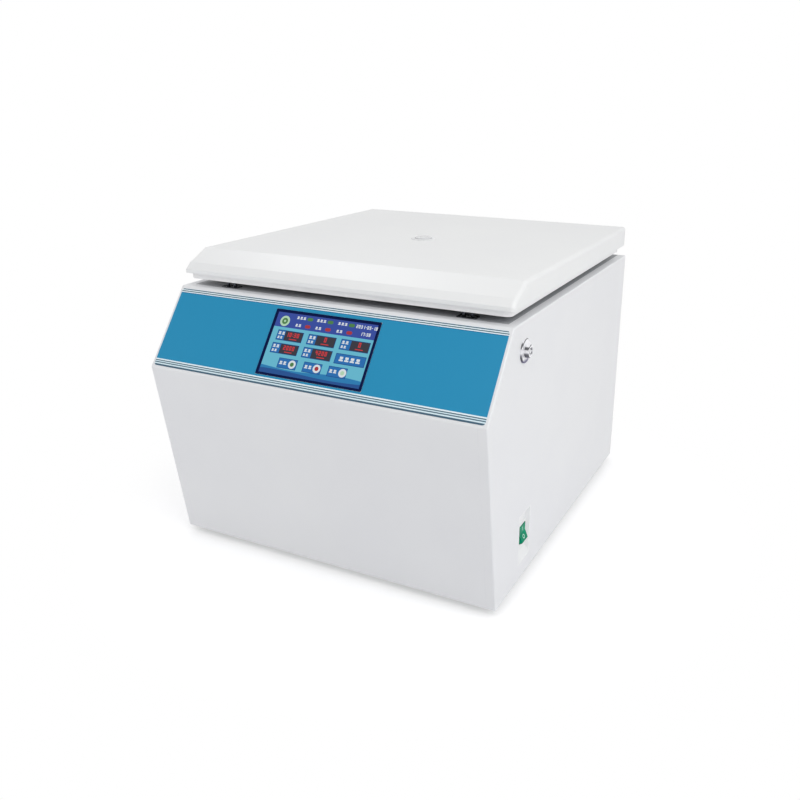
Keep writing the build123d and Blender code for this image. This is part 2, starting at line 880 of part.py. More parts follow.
with BuildPart() as chamber_bowl:
    with BuildSketch(Plane.XZ.offset(-rotor_y)):
        with BuildLine():
            flange_edge = bowl_radius + bowl_flange
            rim_top = deck_height + bowl_sheet
            wall = bowl_radius + bowl_sheet
            underside = bowl_floor - bowl_sheet
            FilletPolyline(
                (bowl_hole_radius, bowl_floor), (bowl_radius, bowl_floor), (bowl_radius, rim_top),
                radius=bowl_corner,
            )
            Polyline((bowl_radius, rim_top), (flange_edge, rim_top), (flange_edge, deck_height),
                     (wall, deck_height))
            FilletPolyline(
                (wall, deck_height), (wall, underside), (bowl_hole_radius, underside),
                radius=bowl_corner + bowl_sheet,
            )
            Line((bowl_hole_radius, underside), (bowl_hole_radius, bowl_floor))
        make_face()
    revolve(axis=Axis((0, rotor_y, 0), (0, 0, 1)))
chamber_bowl.part.label = "chamber_bowl"
export_step(chamber_bowl.part, "parts/chamber_bowl.step")

seal_inner = bowl_radius + seal_setback
with BuildPart() as chamber_seal:
    with BuildSketch(Plane.XZ.offset(-rotor_y)):
        with BuildLine():
            Polyline(
                (seal_inner, rim_top), (seal_inner + seal_width, rim_top),
                (seal_inner + seal_width - seal_bead, rim_top + seal_height),
                (seal_inner + seal_bead, rim_top + seal_height), close=True,
            )
        make_face()
    revolve(axis=Axis((0, rotor_y, 0), (0, 0, 1)))
chamber_seal.part.label = "chamber_seal"
export_step(chamber_seal.part, "parts/chamber_seal.step")

with BuildPart() as guard_ring:
    add(ring(vertical(*rotor_axis), guard_outer, guard_radius, chamber_plate_top,
             deck_underside - guard_gap))
guard_ring.part.label = "guard_ring"
export_step(guard_ring.part, "parts/guard_ring.step")

with BuildPart() as chamber_plate:
    with BuildSketch(Plane.XY.offset(chamber_plate_bottom)):
        with Locations(rotor_axis):
            RectangleRounded(2 * plate_half, 2 * plate_half, chamber_plate_corner)
            Circle(plate_hole_radius, mode=Mode.SUBTRACT)
    extrude(amount=chamber_plate_thickness)
chamber_plate.part.label = "chamber_plate"
export_step(chamber_plate.part, "parts/chamber_plate.step")

with BuildPart() as chamber_posts:
    with BuildSketch(Plane.XY.offset(base_top)):
        with Locations(rotor_axis):
            with GridLocations(2 * (plate_half - post_inset_x), 2 * (plate_half - post_inset_y), 2, 2):
                Circle(post_radius)
    extrude(amount=chamber_plate_bottom - base_top)
chamber_posts.part.label = "chamber_posts"
export_step(chamber_posts.part, "parts/chamber_posts.step")

# ---------------------------------------------------------------- motor

rotor_line = vertical(*rotor_axis)
motor_bottom = motor_flange_bottom - motor_length
nose_top = motor_flange_top + nose_length
spindle_bore = spindle_radius + spindle_play

with BuildPart() as motor_mounts:
    with BuildSketch(Plane.XY.offset(motor_flange_top)):
        with Locations(rotor_axis):
            with GridLocations(isolator_spacing, isolator_spacing, 2, 2):
                Circle(isolator_radius)
    extrude(amount=isolator_height)
motor_mounts.part.label = "motor_mounts"
export_step(motor_mounts.part, "parts/motor_mounts.step")

with BuildPart() as motor_body:
    with BuildSketch(Plane.XY.offset(motor_flange_bottom)):
        with Locations(rotor_axis):
            RectangleRounded(2 * motor_flange_half, 2 * motor_flange_half, motor_flange_corner)
    extrude(amount=motor_flange_thickness)
    add(disc(rotor_line, motor_radius, motor_bottom, motor_flange_bottom))
    add(disc(rotor_line, motor_radius - 2 * fin_depth, motor_bottom - end_cap_height, motor_bottom))
    fillet(motor_body.edges().group_by(Axis.Z)[0], end_cap_round)
    add(disc(rotor_line, nose_radius, motor_flange_top, nose_top))
    with BuildSketch(Plane.XY.offset(motor_bottom + fin_depth)):
        with Locations(rotor_axis):
            with PolarLocations(motor_radius, fin_count):
                Rectangle(2 * fin_depth, fin_depth)
    extrude(amount=motor_length - 2 * fin_depth, mode=Mode.SUBTRACT)
    add(disc(rotor_line, spindle_bore, motor_bottom, nose_top), mode=Mode.SUBTRACT)
motor_body.part.label = "motor_body"
export_step(motor_body.part, "parts/motor_body.step")


boot_inner = nose_radius + boot_play
boot_top = nose_top - boot_setback
boot_flange = bowl_hole_radius + boot_lap
with BuildPart() as spindle_boot:
    with BuildSketch(Plane.XZ.offset(-rotor_y)):
        with BuildLine():
            Polyline(
                (boot_inner, boot_top), (boot_inner, boot_top - boot_collar),
                (bowl_hole_radius - boot_sheet, bowl_floor), (boot_flange, bowl_floor),
                (boot_flange, bowl_floor + boot_sheet), (bowl_hole_radius, bowl_floor + boot_sheet),
                (boot_inner + boot_sheet, boot_top - boot_collar + 1), (boot_inner + boot_sheet, boot_top),
                close=True,
            )
        make_face()
    revolve(axis=Axis((0, rotor_y, 0), (0, 0, 1)))
spindle_boot.part.label = "spindle_boot"
export_step(spindle_boot.part, "parts/spindle_boot.step")

with BuildPart() as imbalance_switch:
    with BuildSketch(Plane.XY.offset(chamber_plate_bottom)):
        with Locations((motor_flange_half + imbalance_half + 1.5, rotor_y)):
            Rectangle(2 * imbalance_half, 3 * imbalance_half)
    extrude(amount=-isolator_height)
imbalance_switch.part.label = "imbalance_switch"
export_step(imbalance_switch.part, "parts/imbalance_switch.step")

# ---------------------------------------------------------------- rotor

hub_bottom = pivot_height - hub_height / 2
hub_top = pivot_height + hub_height / 2
head_face = tray_half_length + ear_thickness + carrier_gap
head_far = pivot_radius + head_reach
arm_bottom = pivot_height - arm_thickness / 2

with BuildPart() as motor_spindle:
    add(disc(rotor_line, spindle_radius, motor_bottom + 2, hub_top))
    add(disc(rotor_line, stud_radius, hub_top, hub_top + stud_length))
motor_spindle.part.label = "motor_spindle"
export_step(motor_spindle.part, "parts/motor_spindle.step")

with BuildPart() as rotor_yoke:
    add(disc(rotor_line, hub_radius, hub_bottom, hub_top))
    fillet(rotor_yoke.edges().group_by(Axis.Z)[-1], hub_round)
    for turn in range(4):
        quarter = Plane(origin=(0, rotor_y, arm_bottom), x_dir=Vector(1, 0, 0).rotate(Axis.Z, 90 * turn),
                        z_dir=(0, 0, 1))
        with BuildSketch(quarter):
            with BuildLine():
                Polyline(
                    (head_face, head_face), (head_far, head_face), (head_far, head_face + head_width),
                    (head_face + head_width, head_far), (head_face, head_far), close=True,
                )
            make_face()
            with Locations(Location((head_face / 2, head_face / 2), 45)):
                Rectangle(1.5 * head_face, arm_width)
        extrude(amount=arm_thickness)
    add(disc(rotor_line, spindle_radius, hub_bottom - 1, hub_top + 1), mode=Mode.SUBTRACT)
rotor_yoke.part.label = "rotor_yoke"
export_step(rotor_yoke.part, "parts/rotor_yoke.step")

pin_tip = tray_half_length + ear_thickness - trunnion_bite
with BuildPart() as rotor_trunnions:
    for turn in range(4):
        outward = Vector(1, 0, 0).rotate(Axis.Z, 90 * turn)
        sideways = Vector(0, 1, 0).rotate(Axis.Z, 90 * turn)
        pivot = Vector(0, rotor_y, pivot_height) + outward * pivot_radius
        for side in (-1, 1):
            pin_plane = Plane(origin=pivot + sideways * side * pin_tip, x_dir=(0, 0, 1),
                              z_dir=sideways * side)
            with BuildSketch(pin_plane):
                Circle(trunnion_radius)
            extrude(amount=head_face - pin_tip)
rotor_trunnions.part.label = "rotor_trunnions"
export_step(rotor_trunnions.part, "parts/rotor_trunnions.step")

with BuildPart() as rotor_nut:
    add(disc(rotor_line, rotor_nut_radius, hub_top, hub_top + rotor_nut_height))
    fillet(rotor_nut.edges().group_by(Axis.Z)[-1], rotor_nut_round)
    with BuildSketch(Plane.XY.offset(hub_top)):
        with Locations(rotor_axis):
            with PolarLocations(rotor_nut_radius + 0.4 * nut_scallop, 6):
                Circle(nut_scallop)
    extrude(amount=rotor_nut_height, mode=Mode.SUBTRACT)
    add(disc(rotor_line, stud_radius, hub_top, hub_top + stud_length), mode=Mode.SUBTRACT)
rotor_nut.part.label = "rotor_nut"
export_step(rotor_nut.part, "parts/rotor_nut.step")

# Each carrier is a tray between two end plates whose ears ride on the trunnions.
end_outer = tray_half_length + ear_thickness
tray_outer = tray_half_width + tray_wall
tray_low = pivot_height - tray_bottom_drop - tray_bottom
tray_high_edge = pivot_height - tray_top_drop
for turn in range(4):
    name = f"plate_carrier_{turn + 1}"
    outward = Vector(1, 0, 0).rotate(Axis.Z, 90 * turn)
    sideways = Vector(0, 1, 0).rotate(Axis.Z, 90 * turn)
    centre = Vector(0, rotor_y, 0) + outward * pivot_radius
    tray_plane = Plane(origin=(centre.X, centre.Y, tray_low), x_dir=outward, z_dir=(0, 0, 1))
    ear_plane = Plane(origin=(centre.X, centre.Y, pivot_height), x_dir=outward, z_dir=-sideways)
    with BuildPart() as plate_carrier:
        with BuildSketch(tray_plane):
            RectangleRounded(2 * tray_outer, 2 * end_outer, tray_corner)
        extrude(amount=tray_high_edge - tray_low)
        with BuildSketch(ear_plane):
            Circle(ear_radius)
            with BuildLine():
                Polyline(
                    (-ear_radius, 0), (ear_radius, 0), (tray_outer - tray_corner, -tray_top_drop - 1),
                    (-tray_outer + tray_corner, -tray_top_drop - 1), close=True,
                )
            make_face()
        extrude(amount=end_outer, both=True)
        with BuildSketch(tray_plane.offset(tray_bottom)):
            Rectangle(2 * tray_half_width, 2 * tray_half_length)
        extrude(amount=deck_height, mode=Mode.SUBTRACT)
        with BuildSketch(ear_plane):
            Circle(trunnion_radius + trunnion_play)
        extrude(amount=end_outer + 1, both=True, mode=Mode.SUBTRACT)
        with BuildSketch(tray_plane):
            with GridLocations(tray_hole_length + tray_rib, 2 * tray_hole_width, 3, 5):
                SlotOverall(tray_hole_length, tray_hole_width)
        extrude(amount=tray_bottom, mode=Mode.SUBTRACT)
    plate_carrier.part.label = name
    export_step(plate_carrier.part, f"parts/{name}.step")

# ---------------------------------------------------------------- lid

lid_half = half_width - lid_side_step
liner_half = lid_half - liner_inset
liner_front_y = lid_front_y + liner_inset
liner_rear_y = lid_rear_y - liner_rear_inset
lid_nose_y = lid_front_y + lid_nose_run
lid_bevel_y = lid_front_y + lid_bevel_run
hinge_places = [(-hinge_spacing / 2, hinge_y), (hinge_spacing / 2, hinge_y)]
inner_knuckle = hinge_width - 2 * outer_knuckle - 2 * hinge_side_gap


def lid_form(inset):
    """The lid cover's closed outer form moved inwards by inset."""
    with BuildPart() as form:
        with BuildSketch(Plane.YZ) as side:
            with BuildLine():
                Polyline(
                    (lid_front_y, lid_edge_height), (lid_front_y, lid_edge_height + lid_front_wall),
                    (lid_nose_y, lid_edge_height + lid_nose_rise), (lid_bevel_y, lid_top_height),
                    (lid_rear_y, lid_top_height), (lid_rear_y, lid_edge_height), close=True,
                )
            make_face()
            if inset:
                offset(amount=-inset, kind=Kind.INTERSECTION)
            upper = side.vertices().filter_by(
                lambda vertex: vertex.Z > lid_edge_height + inset + 1
            ).sort_by(Axis.Y)
            rounds = (lid_front_round, lid_nose_round, lid_bevel_round, lid_rear_round)
            for vertex, radius in zip(upper, rounds):
                fillet(vertex, max(radius - inset, least_round))
        extrude(amount=lid_half - inset, both=True)
        end_edges = form.edges().filter_by(
            lambda edge: abs(abs(edge.center().X) - lid_half + inset) < 0.01
            and edge.center().Z > lid_edge_height + inset + 0.01
        )
        fillet(end_edges, max(lid_side_round - inset, least_round))
    return form.part


def liner_outline(inset):
    """Draw the liner's plan, moved inwards by inset, in the open sketch."""
    with Locations((0, (liner_front_y + liner_rear_y) / 2)):
        RectangleRounded(
            2 * (liner_half - inset), liner_rear_y - liner_front_y - 2 * inset,
            max(liner_corner - inset, least_round),
        )


# The cover is a moulding whose lower edge turns in to the liner's wall.
with BuildPart() as lid_cover:
    add(lid_form(0))
    add(lid_form(lid_sheet), mode=Mode.SUBTRACT)
    with BuildSketch(Plane.XY.offset(lid_edge_height)):
        liner_outline(-liner_fit)
        with Locations(*[(x, (liner_rear_y + lid_rear_y - lid_sheet) / 2) for x, y in hinge_places]):
            Rectangle(hinge_width + 2 * hinge_cap_space, lid_rear_y - lid_sheet - liner_rear_y)
    extrude(amount=2 * lid_sheet, mode=Mode.SUBTRACT)
    port_plane = vertical(*rotor_axis)
    add(disc(port_plane, port_radius, lid_edge_height, lid_top_height + 1), mode=Mode.SUBTRACT)
lid_cover.part.label = "lid_cover"
export_step(lid_cover.part, "parts/lid_cover.step")

# The liner is a shallow pan inside the cover; the armour plate stiffens it and carries the
# strikers and the hinge arms.
with BuildPart() as lid_liner:
    with BuildSketch(Plane.XY.offset(liner_bottom)):
        liner_outline(0)
    extrude(amount=liner_wall_height)
    fillet(lid_liner.edges().group_by(Axis.Z)[0], liner_edge_round)
    with BuildSketch(Plane.XY.offset(liner_top_face)):
        liner_outline(liner_sheet)
    extrude(amount=liner_wall_height, mode=Mode.SUBTRACT)
    with BuildSketch(Plane.XY.offset(liner_bottom)):
        with Locations(rotor_axis):
            Circle(port_radius)
        with Locations(*latch_places):
            with GridLocations(2 * striker_half, 1, 2, 1):
                Circle(striker_rod + screw_play)
    extrude(amount=liner_sheet, mode=Mode.SUBTRACT)
    with BuildSketch(Plane.XY.offset(armour_top)):
        with Locations(*[(x, liner_rear_y) for x, y in hinge_places]):
            Rectangle(inner_knuckle + 2 * hinge_side_gap, 4 * liner_sheet)
    extrude(amount=liner_wall_height, mode=Mode.SUBTRACT)
lid_liner.part.label = "lid_liner"
export_step(lid_liner.part, "parts/lid_liner.step")

armour_half = liner_half - armour_margin
armour_front_y = liner_front_y + liner_sheet + armour_play
armour_rear_y = liner_rear_y - liner_sheet - armour_play
lid_screw_x = armour_half - lid_screw_inset
lid_screw_y = (armour_rear_y - armour_front_y) / 2 - lid_screw_inset
armour_middle_y = (armour_front_y + armour_rear_y) / 2
with BuildPart() as lid_armour:
    with BuildSketch(Plane.XY.offset(liner_top_face)):
        with Locations((0, armour_middle_y)):
            RectangleRounded(2 * armour_half, armour_rear_y - armour_front_y, armour_corner)
            with GridLocations(2 * lid_screw_x, lid_screw_y, 2, 3):
                Circle(lid_screw_radius, mode=Mode.SUBTRACT)
        with Locations(rotor_axis):
            Circle(port_radius, mode=Mode.SUBTRACT)
        with Locations(*latch_places):
            with GridLocations(2 * striker_half, 1, 2, 1):
                Circle(striker_rod + screw_play, mode=Mode.SUBTRACT)
    extrude(amount=armour_thickness)
lid_armour.part.label = "lid_armour"
export_step(lid_armour.part, "parts/lid_armour.step")

with BuildPart() as lid_screws:
    with Locations((0, armour_middle_y, liner_top_face + armour_thickness)):
        with GridLocations(2 * lid_screw_x, lid_screw_y, 2, 3):
            Cylinder(lid_screw_head_radius, lid_screw_head, align=lower_centre)
            Cylinder(lid_screw_radius, armour_thickness, align=upper_centre)
lid_screws.part.label = "lid_screws"
export_step(lid_screws.part, "parts/lid_screws.step")

with BuildPart() as port_ring:
    with BuildSketch(Plane.XY.offset(lid_top_height)):
        with Locations(rotor_axis):
            Circle(port_ring_radius)
            Circle(port_radius, mode=Mode.SUBTRACT)
    extrude(amount=port_ring_height)
    chamfer(port_ring.edges().group_by(Axis.Z)[-1], 0.5)
port_ring.part.label = "port_ring"
export_step(port_ring.part, "parts/port_ring.step")

with BuildPart() as port_window:
    add(disc(port_plane, port_radius - liner_clearance, liner_bottom, lid_top_height + port_window_rise))
    fillet(port_window.edges().group_by(Axis.Z)[-1], port_window_round)
port_window.part.label = "port_window"
export_step(port_window.part, "parts/port_window.step")

striker_low = liner_bottom - striker_drop
with BuildPart() as lid_strikers:
    for x, y in latch_places:
        post = Plane(origin=(x, y, 0), x_dir=(1, 0, 0), z_dir=(0, 0, 1))
        with BuildSketch(post.offset(striker_low)):
            with GridLocations(2 * striker_half, 1, 2, 1):
                Circle(striker_rod)
        extrude(amount=armour_top - striker_low)
        with BuildSketch(Plane(origin=(x, y, striker_low), x_dir=(0, 1, 0), z_dir=(1, 0, 0))):
            Circle(striker_rod)
        extrude(amount=striker_half, both=True)
        with BuildSketch(post.offset(armour_top)):
            RectangleRounded(2 * striker_pad_half, 2 * striker_pad_depth, striker_pad_corner)
        extrude(amount=striker_pad)
lid_strikers.part.label = "lid_strikers"
export_step(lid_strikers.part, "parts/lid_strikers.step")

# ---------------------------------------------------------------- lid hinges

hinge_line = along_x(hinge_y, hinge_height)
web_top = armour_top + hinge_arm_thickness
with BuildPart() as hinge_leaves:
    for x, y in hinge_places:
        for side in (-1, 1):
            low = x + side * hinge_width / 2
            high = low - side * outer_knuckle
            west = min(low, high)
            add(disc(hinge_line, knuckle_radius, west, west + outer_knuckle))
            add(block((west, y - leaf_web, deck_height), (west + outer_knuckle, y, hinge_height)))
        add(block((x - hinge_width / 2, y - leaf_length, deck_height),
                  (x + hinge_width / 2, y, deck_height + leaf_sheet)))
        add(disc(hinge_line, hinge_pin_radius + hinge_play, x - hinge_width, x + hinge_width),
            mode=Mode.SUBTRACT)
    for x, y in hinge_places:
        add(disc(hinge_line, hinge_pin_radius, x - hinge_width / 2, x + hinge_width / 2))
        for side in (-1, 1):
            near = x + side * (hinge_width / 2 + hinge_play)
            far = near + side * hinge_cap
            add(disc(hinge_line, hinge_cap_radius, min(near, far), max(near, far)))
            add(disc(hinge_line, hinge_pin_radius, min(near, x), max(near, x)))
hinge_leaves.part.label = "hinge_leaves"
export_step(hinge_leaves.part, "parts/hinge_leaves.step")

with BuildPart() as hinge_arms:
    for x, y in hinge_places:
        west = x - inner_knuckle / 2
        add(disc(hinge_line, knuckle_radius, west, west + inner_knuckle))
        add(block((west, y - leaf_web, hinge_height), (west + inner_knuckle, y + leaf_web / 2, web_top)))
        add(block((west, y - hinge_arm_length, armour_top), (west + inner_knuckle, y, web_top)))
        add(disc(hinge_line, hinge_pin_radius + hinge_play, x - hinge_width, x + hinge_width),
            mode=Mode.SUBTRACT)
hinge_arms.part.label = "hinge_arms"
export_step(hinge_arms.part, "parts/hinge_arms.step")

# ---------------------------------------------------------------- lid latch

with BuildPart() as latch_bezels:
    with BuildSketch(Plane.XY.offset(deck_height)):
        with Locations(*latch_places):
            RectangleRounded(2 * (slot_half_x + slot_bezel_width), 2 * (slot_half_y + slot_bezel_width), 3)
            Rectangle(2 * slot_half_x, 2 * slot_half_y, mode=Mode.SUBTRACT)
    extrude(amount=slot_bezel_height)
    fillet(latch_bezels.edges().group_by(Axis.Z)[-1], 0.6)
latch_bezels.part.label = "latch_bezels"
export_step(latch_bezels.part, "parts/latch_bezels.step")

shaft_line = along_x(latch_shaft_y, latch_shaft_height)
shaft_end = latch_spacing / 2 + latch_shaft_overhang
cheek_x = latch_spacing / 2 + cheek_offset
half_swing = latch_swing / 2
pin_rest_y = latch_shaft_y - latch_lever_radius * sin(radians(half_swing))
pin_line_height = latch_shaft_height - latch_lever_radius * (1 + cos(radians(half_swing))) / 2
solenoid_rear_y = pin_rest_y - solenoid_gap
solenoid_front_y = solenoid_rear_y - solenoid_length
solenoid_top = pin_line_height + solenoid_half
with BuildPart() as latch_brackets:
    for side in (-1, 1):
        west = side * cheek_x - cheek_sheet / 2
        add(block((west, latch_shaft_y - cheek_half, latch_shaft_height - cheek_half),
                  (west + cheek_sheet, latch_shaft_y + cheek_half, deck_underside)))
        tab = west + side * cheek_half
        add(block((min(west, tab), latch_shaft_y - cheek_half, deck_underside - cheek_sheet),
                  (max(west, tab), latch_shaft_y + cheek_half, deck_underside)))
    add(disc(shaft_line, latch_shaft_radius + latch_play, -body_width, body_width), mode=Mode.SUBTRACT)
    bracket_half = solenoid_half + bracket_sheet
    add(block((latch_lever_x - bracket_half, solenoid_front_y, solenoid_top),
              (latch_lever_x + bracket_half, solenoid_rear_y, solenoid_top + bracket_sheet)))
    for side in (-1, 1):
        near = latch_lever_x + side * solenoid_half
        far = near + side * bracket_sheet
        add(block((min(near, far), solenoid_front_y, pin_line_height),
                  (max(near, far), solenoid_rear_y, solenoid_top + bracket_sheet)))
    add(block((latch_lever_x - solenoid_half, solenoid_rear_y - bracket_sheet, solenoid_top),
              (latch_lever_x + solenoid_half, solenoid_rear_y, deck_underside)))
latch_brackets.part.label = "latch_brackets"
export_step(latch_brackets.part, "parts/latch_brackets.step")

with BuildPart() as latch_shaft:
    add(disc(shaft_line, latch_shaft_radius, -shaft_end, shaft_end))
    chamfer(latch_shaft.edges(), 0.6)
latch_shaft.part.label = "latch_shaft"
export_step(latch_shaft.part, "parts/latch_shaft.step")

# The hooks are drawn engaged, over the strikers, and stand turned back by latch_swing.
bar_y = latch_y - latch_shaft_y
nose_low = striker_low + striker_rod + hook_gap - latch_shaft_height
nose_tip = bar_y - striker_rod - hook_lap
throat = bar_y + striker_rod + 2 * hook_gap
key_lever_x = shaft_end - key_lever_thickness
with BuildPart() as latch_arms:
    for x, y in latch_places:
        with BuildSketch(turned(shaft_line, -latch_swing).offset(x - hook_thickness / 2)):
            Circle(hook_hub_radius)
            with BuildLine():
                Polyline(
                    (throat, 0), (throat, nose_low), (nose_tip, nose_low),
                    (nose_tip, nose_low + hook_lap), (nose_tip + hook_lap, nose_low + hook_nose),
                    (throat + hook_width, nose_low + hook_nose), (throat + hook_width, 0), close=True,
                )
            make_face()
            Circle(latch_shaft_radius, mode=Mode.SUBTRACT)
        extrude(amount=hook_thickness)

    # The solenoid lever hangs from the shaft and swings evenly about the plumb line.
    lever_plane = turned(shaft_line, -half_swing).offset(latch_lever_x - latch_lever_thickness / 2)
    with BuildSketch(lever_plane):
        Circle(hook_hub_radius)
        with Locations((0, -latch_lever_radius / 2)):
            Rectangle(2 * lever_end_radius, latch_lever_radius)
        with Locations((0, -latch_lever_radius)):
            Circle(lever_end_radius)
        Circle(latch_shaft_radius, mode=Mode.SUBTRACT)
    extrude(amount=latch_lever_thickness)
    with BuildSketch(lever_plane.offset(latch_lever_thickness / 2)):
        with Locations((0, -latch_lever_radius)):
            Circle(latch_pin_radius)
    extrude(amount=fork_half + fork_sheet, both=True)
    # The key lever stands beside the lock's cam.
    with BuildSketch(turned(shaft_line, -latch_swing).offset(key_lever_x)):
        Circle(hook_hub_radius)
        with Locations((0, key_lever_length / 2)):
            Rectangle(2 * lever_end_radius, key_lever_length)
        Circle(latch_shaft_radius, mode=Mode.SUBTRACT)
    extrude(amount=key_lever_thickness)
latch_arms.part.label = "latch_arms"
export_step(latch_arms.part, "parts/latch_arms.step")

# Solenoid in front of the lever, with a forked plunger on the lever's pin.
solenoid_line = along_y(latch_lever_x, pin_line_height)
with BuildPart() as latch_solenoid:
    add(block(
        (latch_lever_x - solenoid_half, solenoid_front_y, pin_line_height - solenoid_half),
        (latch_lever_x + solenoid_half, solenoid_rear_y, pin_line_height + solenoid_half),
    ))
    add(disc(solenoid_line, plunger_radius + plunger_play, solenoid_front_y - 1, solenoid_rear_y + 1),
        mode=Mode.SUBTRACT)
latch_solenoid.part.label = "latch_solenoid"
export_step(latch_solenoid.part, "parts/latch_solenoid.step")

fork_low = pin_line_height - fork_half_height
fork_high = pin_line_height + fork_half_height
fork_back = pin_rest_y + fork_half_height
fork_front = pin_rest_y - fork_throat
with BuildPart() as solenoid_plunger:
    add(disc(solenoid_line, plunger_radius, solenoid_front_y + plunger_setback, fork_front))
    add(block((latch_lever_x - fork_half - fork_sheet, fork_front - fork_sheet, fork_low),
              (latch_lever_x + fork_half + fork_sheet, fork_front, fork_high)))
    for side in (-1, 1):
        near = latch_lever_x + side * fork_half
        far = near + side * fork_sheet
        add(block((min(near, far), fork_front, fork_low), (max(near, far), fork_back, fork_high)))
    with BuildSketch(Plane(origin=(latch_lever_x, pin_rest_y, pin_line_height), x_dir=(0, 0, 1),
                           z_dir=(1, 0, 0))):
        SlotOverall(2 * (latch_pin_radius + fork_slot), 2 * (latch_pin_radius + fork_play))
    extrude(amount=fork_half + 2 * fork_sheet, both=True, mode=Mode.SUBTRACT)
solenoid_plunger.part.label = "solenoid_plunger"
export_step(solenoid_plunger.part, "parts/solenoid_plunger.step")


# ---------------------------------------------------------------- rear panel items

with BuildPart() as power_inlet:
    with BuildSketch(rear_side):
        with Locations((-inlet_x, inlet_height)):
            RectangleRounded(2 * inlet_half_width, 2 * inlet_half_height, 3)
            with GridLocations(2 * (inlet_half_width - inlet_hole_inset), 1, 2, 1):
                Circle(inlet_hole_radius, mode=Mode.SUBTRACT)
    extrude(amount=inlet_flange)
    with BuildSketch(rear_side):
        with Locations((-inlet_x, inlet_height)):
            Rectangle(2 * inlet_body_half_width, 2 * inlet_body_half_height)
    extrude(amount=-inlet_depth)
    with BuildSketch(rear_side.offset(inlet_flange)):
        with Locations((-inlet_x, inlet_height)):
            RectangleRounded(2 * inlet_mouth_half_width, 2 * inlet_mouth_half_height, 3)
    extrude(amount=-inlet_mouth_depth - inlet_flange, mode=Mode.SUBTRACT)
    with BuildSketch(rear_side.offset(-inlet_mouth_depth)):
        for step in (-1, 0, 1):
            with Locations((step * inlet_blade_step - inlet_x, inlet_height + (-2 if step else 2))):
                Rectangle(inlet_blade_width, inlet_blade_height)
    extrude(amount=inlet_mouth_depth - inlet_blade_setback)
power_inlet.part.label = "power_inlet"
export_step(power_inlet.part, "parts/power_inlet.step")

fuse_line = along_y(fuse_x, inlet_height)
earth_line = along_y(earth_x, inlet_height)
with BuildPart() as rear_fittings:
    add(disc(fuse_line, fuse_cap_radius, rear_y, rear_y + fuse_cap_height))
    chamfer(rear_fittings.edges().group_by(Axis.Y)[-1], 0.5)
    add(disc(fuse_line, fuse_radius, rear_y - fuse_depth, rear_y))
    add(disc(earth_line, earth_radius, rear_y - earth_depth, rear_y + earth_reach))
    with BuildSketch(earth_line.offset(rear_seam)):
        RegularPolygon(earth_nut_radius, 6)
    extrude(amount=-nut_height)
rear_fittings.part.label = "rear_fittings"
export_step(rear_fittings.part, "parts/rear_fittings.step")

fan_line = along_y(fan_x, fan_height)
fan_front_y = rear_seam - fan_depth
fan_motor_y = fan_front_y + fan_motor_depth
with BuildPart() as fan_frame:
    with BuildSketch(fan_line.offset(fan_front_y)):
        RectangleRounded(2 * fan_half, 2 * fan_half, fan_corner)
        Circle(fan_bore, mode=Mode.SUBTRACT)
    extrude(amount=fan_depth)
    with BuildSketch(fan_line.offset(fan_front_y)):
        Circle(fan_hub_radius)
        with PolarLocations(0, 4, 45):
            with Locations(((fan_bore + fan_strut) / 2, 0)):
                Rectangle(fan_bore + fan_strut, fan_strut)
    extrude(amount=fan_motor_depth)
    with BuildSketch(fan_line.offset(fan_motor_y)):
        Circle(fan_shaft_radius)
    extrude(amount=fan_hub_length - fan_cap)
fan_frame.part.label = "fan_frame"
export_step(fan_frame.part, "parts/fan_frame.step")

impeller_low = fan_motor_y + fan_gap
with BuildPart() as fan_impeller:
    add(disc(fan_line, fan_hub_radius, impeller_low, impeller_low + fan_hub_length))
    for number in range(blade_count):
        turn = radians(360 * number / blade_count)
        radial = Vector(cos(turn), 0, sin(turn))
        blade_plane = Plane(
            origin=(fan_x, impeller_low + fan_hub_length / 2, fan_height), x_dir=radial,
            z_dir=Vector(0, 1, 0).rotate(Axis((0, 0, 0), radial), blade_pitch),
        )
        with Locations(blade_plane):
            with Locations(((fan_hub_radius + fan_blade_tip) / 2 - 1, 0, 0)):
                Box(fan_blade_tip - fan_hub_radius + 2, blade_sheet, blade_width)
    add(disc(fan_line, fan_blade_tip, impeller_low, impeller_low + fan_hub_length), mode=Mode.INTERSECT)
    add(disc(fan_line, fan_shaft_radius + fan_shaft_play, impeller_low - 1,
             fan_motor_y + fan_hub_length - fan_cap + fan_gap), mode=Mode.SUBTRACT)
fan_impeller.part.label = "fan_impeller"
export_step(fan_impeller.part, "parts/fan_impeller.step")

with BuildPart() as fan_guard:
    with BuildSketch(fan_line.offset(rear_y)):
        for number in range(guard_rings, 0, -1):
            radius = guard_ring_step * number
            Circle(radius)
            Circle(radius - guard_bar, mode=Mode.SUBTRACT)
        with PolarLocations(0, 4, 45):
            with Locations((guard_reach / 2, 0)):
                Rectangle(guard_reach, guard_spoke)
            with Locations((guard_reach, 0)):
                Circle(guard_spoke)
    extrude(amount=guard_sheet)
fan_guard.part.label = "fan_guard"
export_step(fan_guard.part, "parts/fan_guard.step")

# ---------------------------------------------------------------- electronics on the base

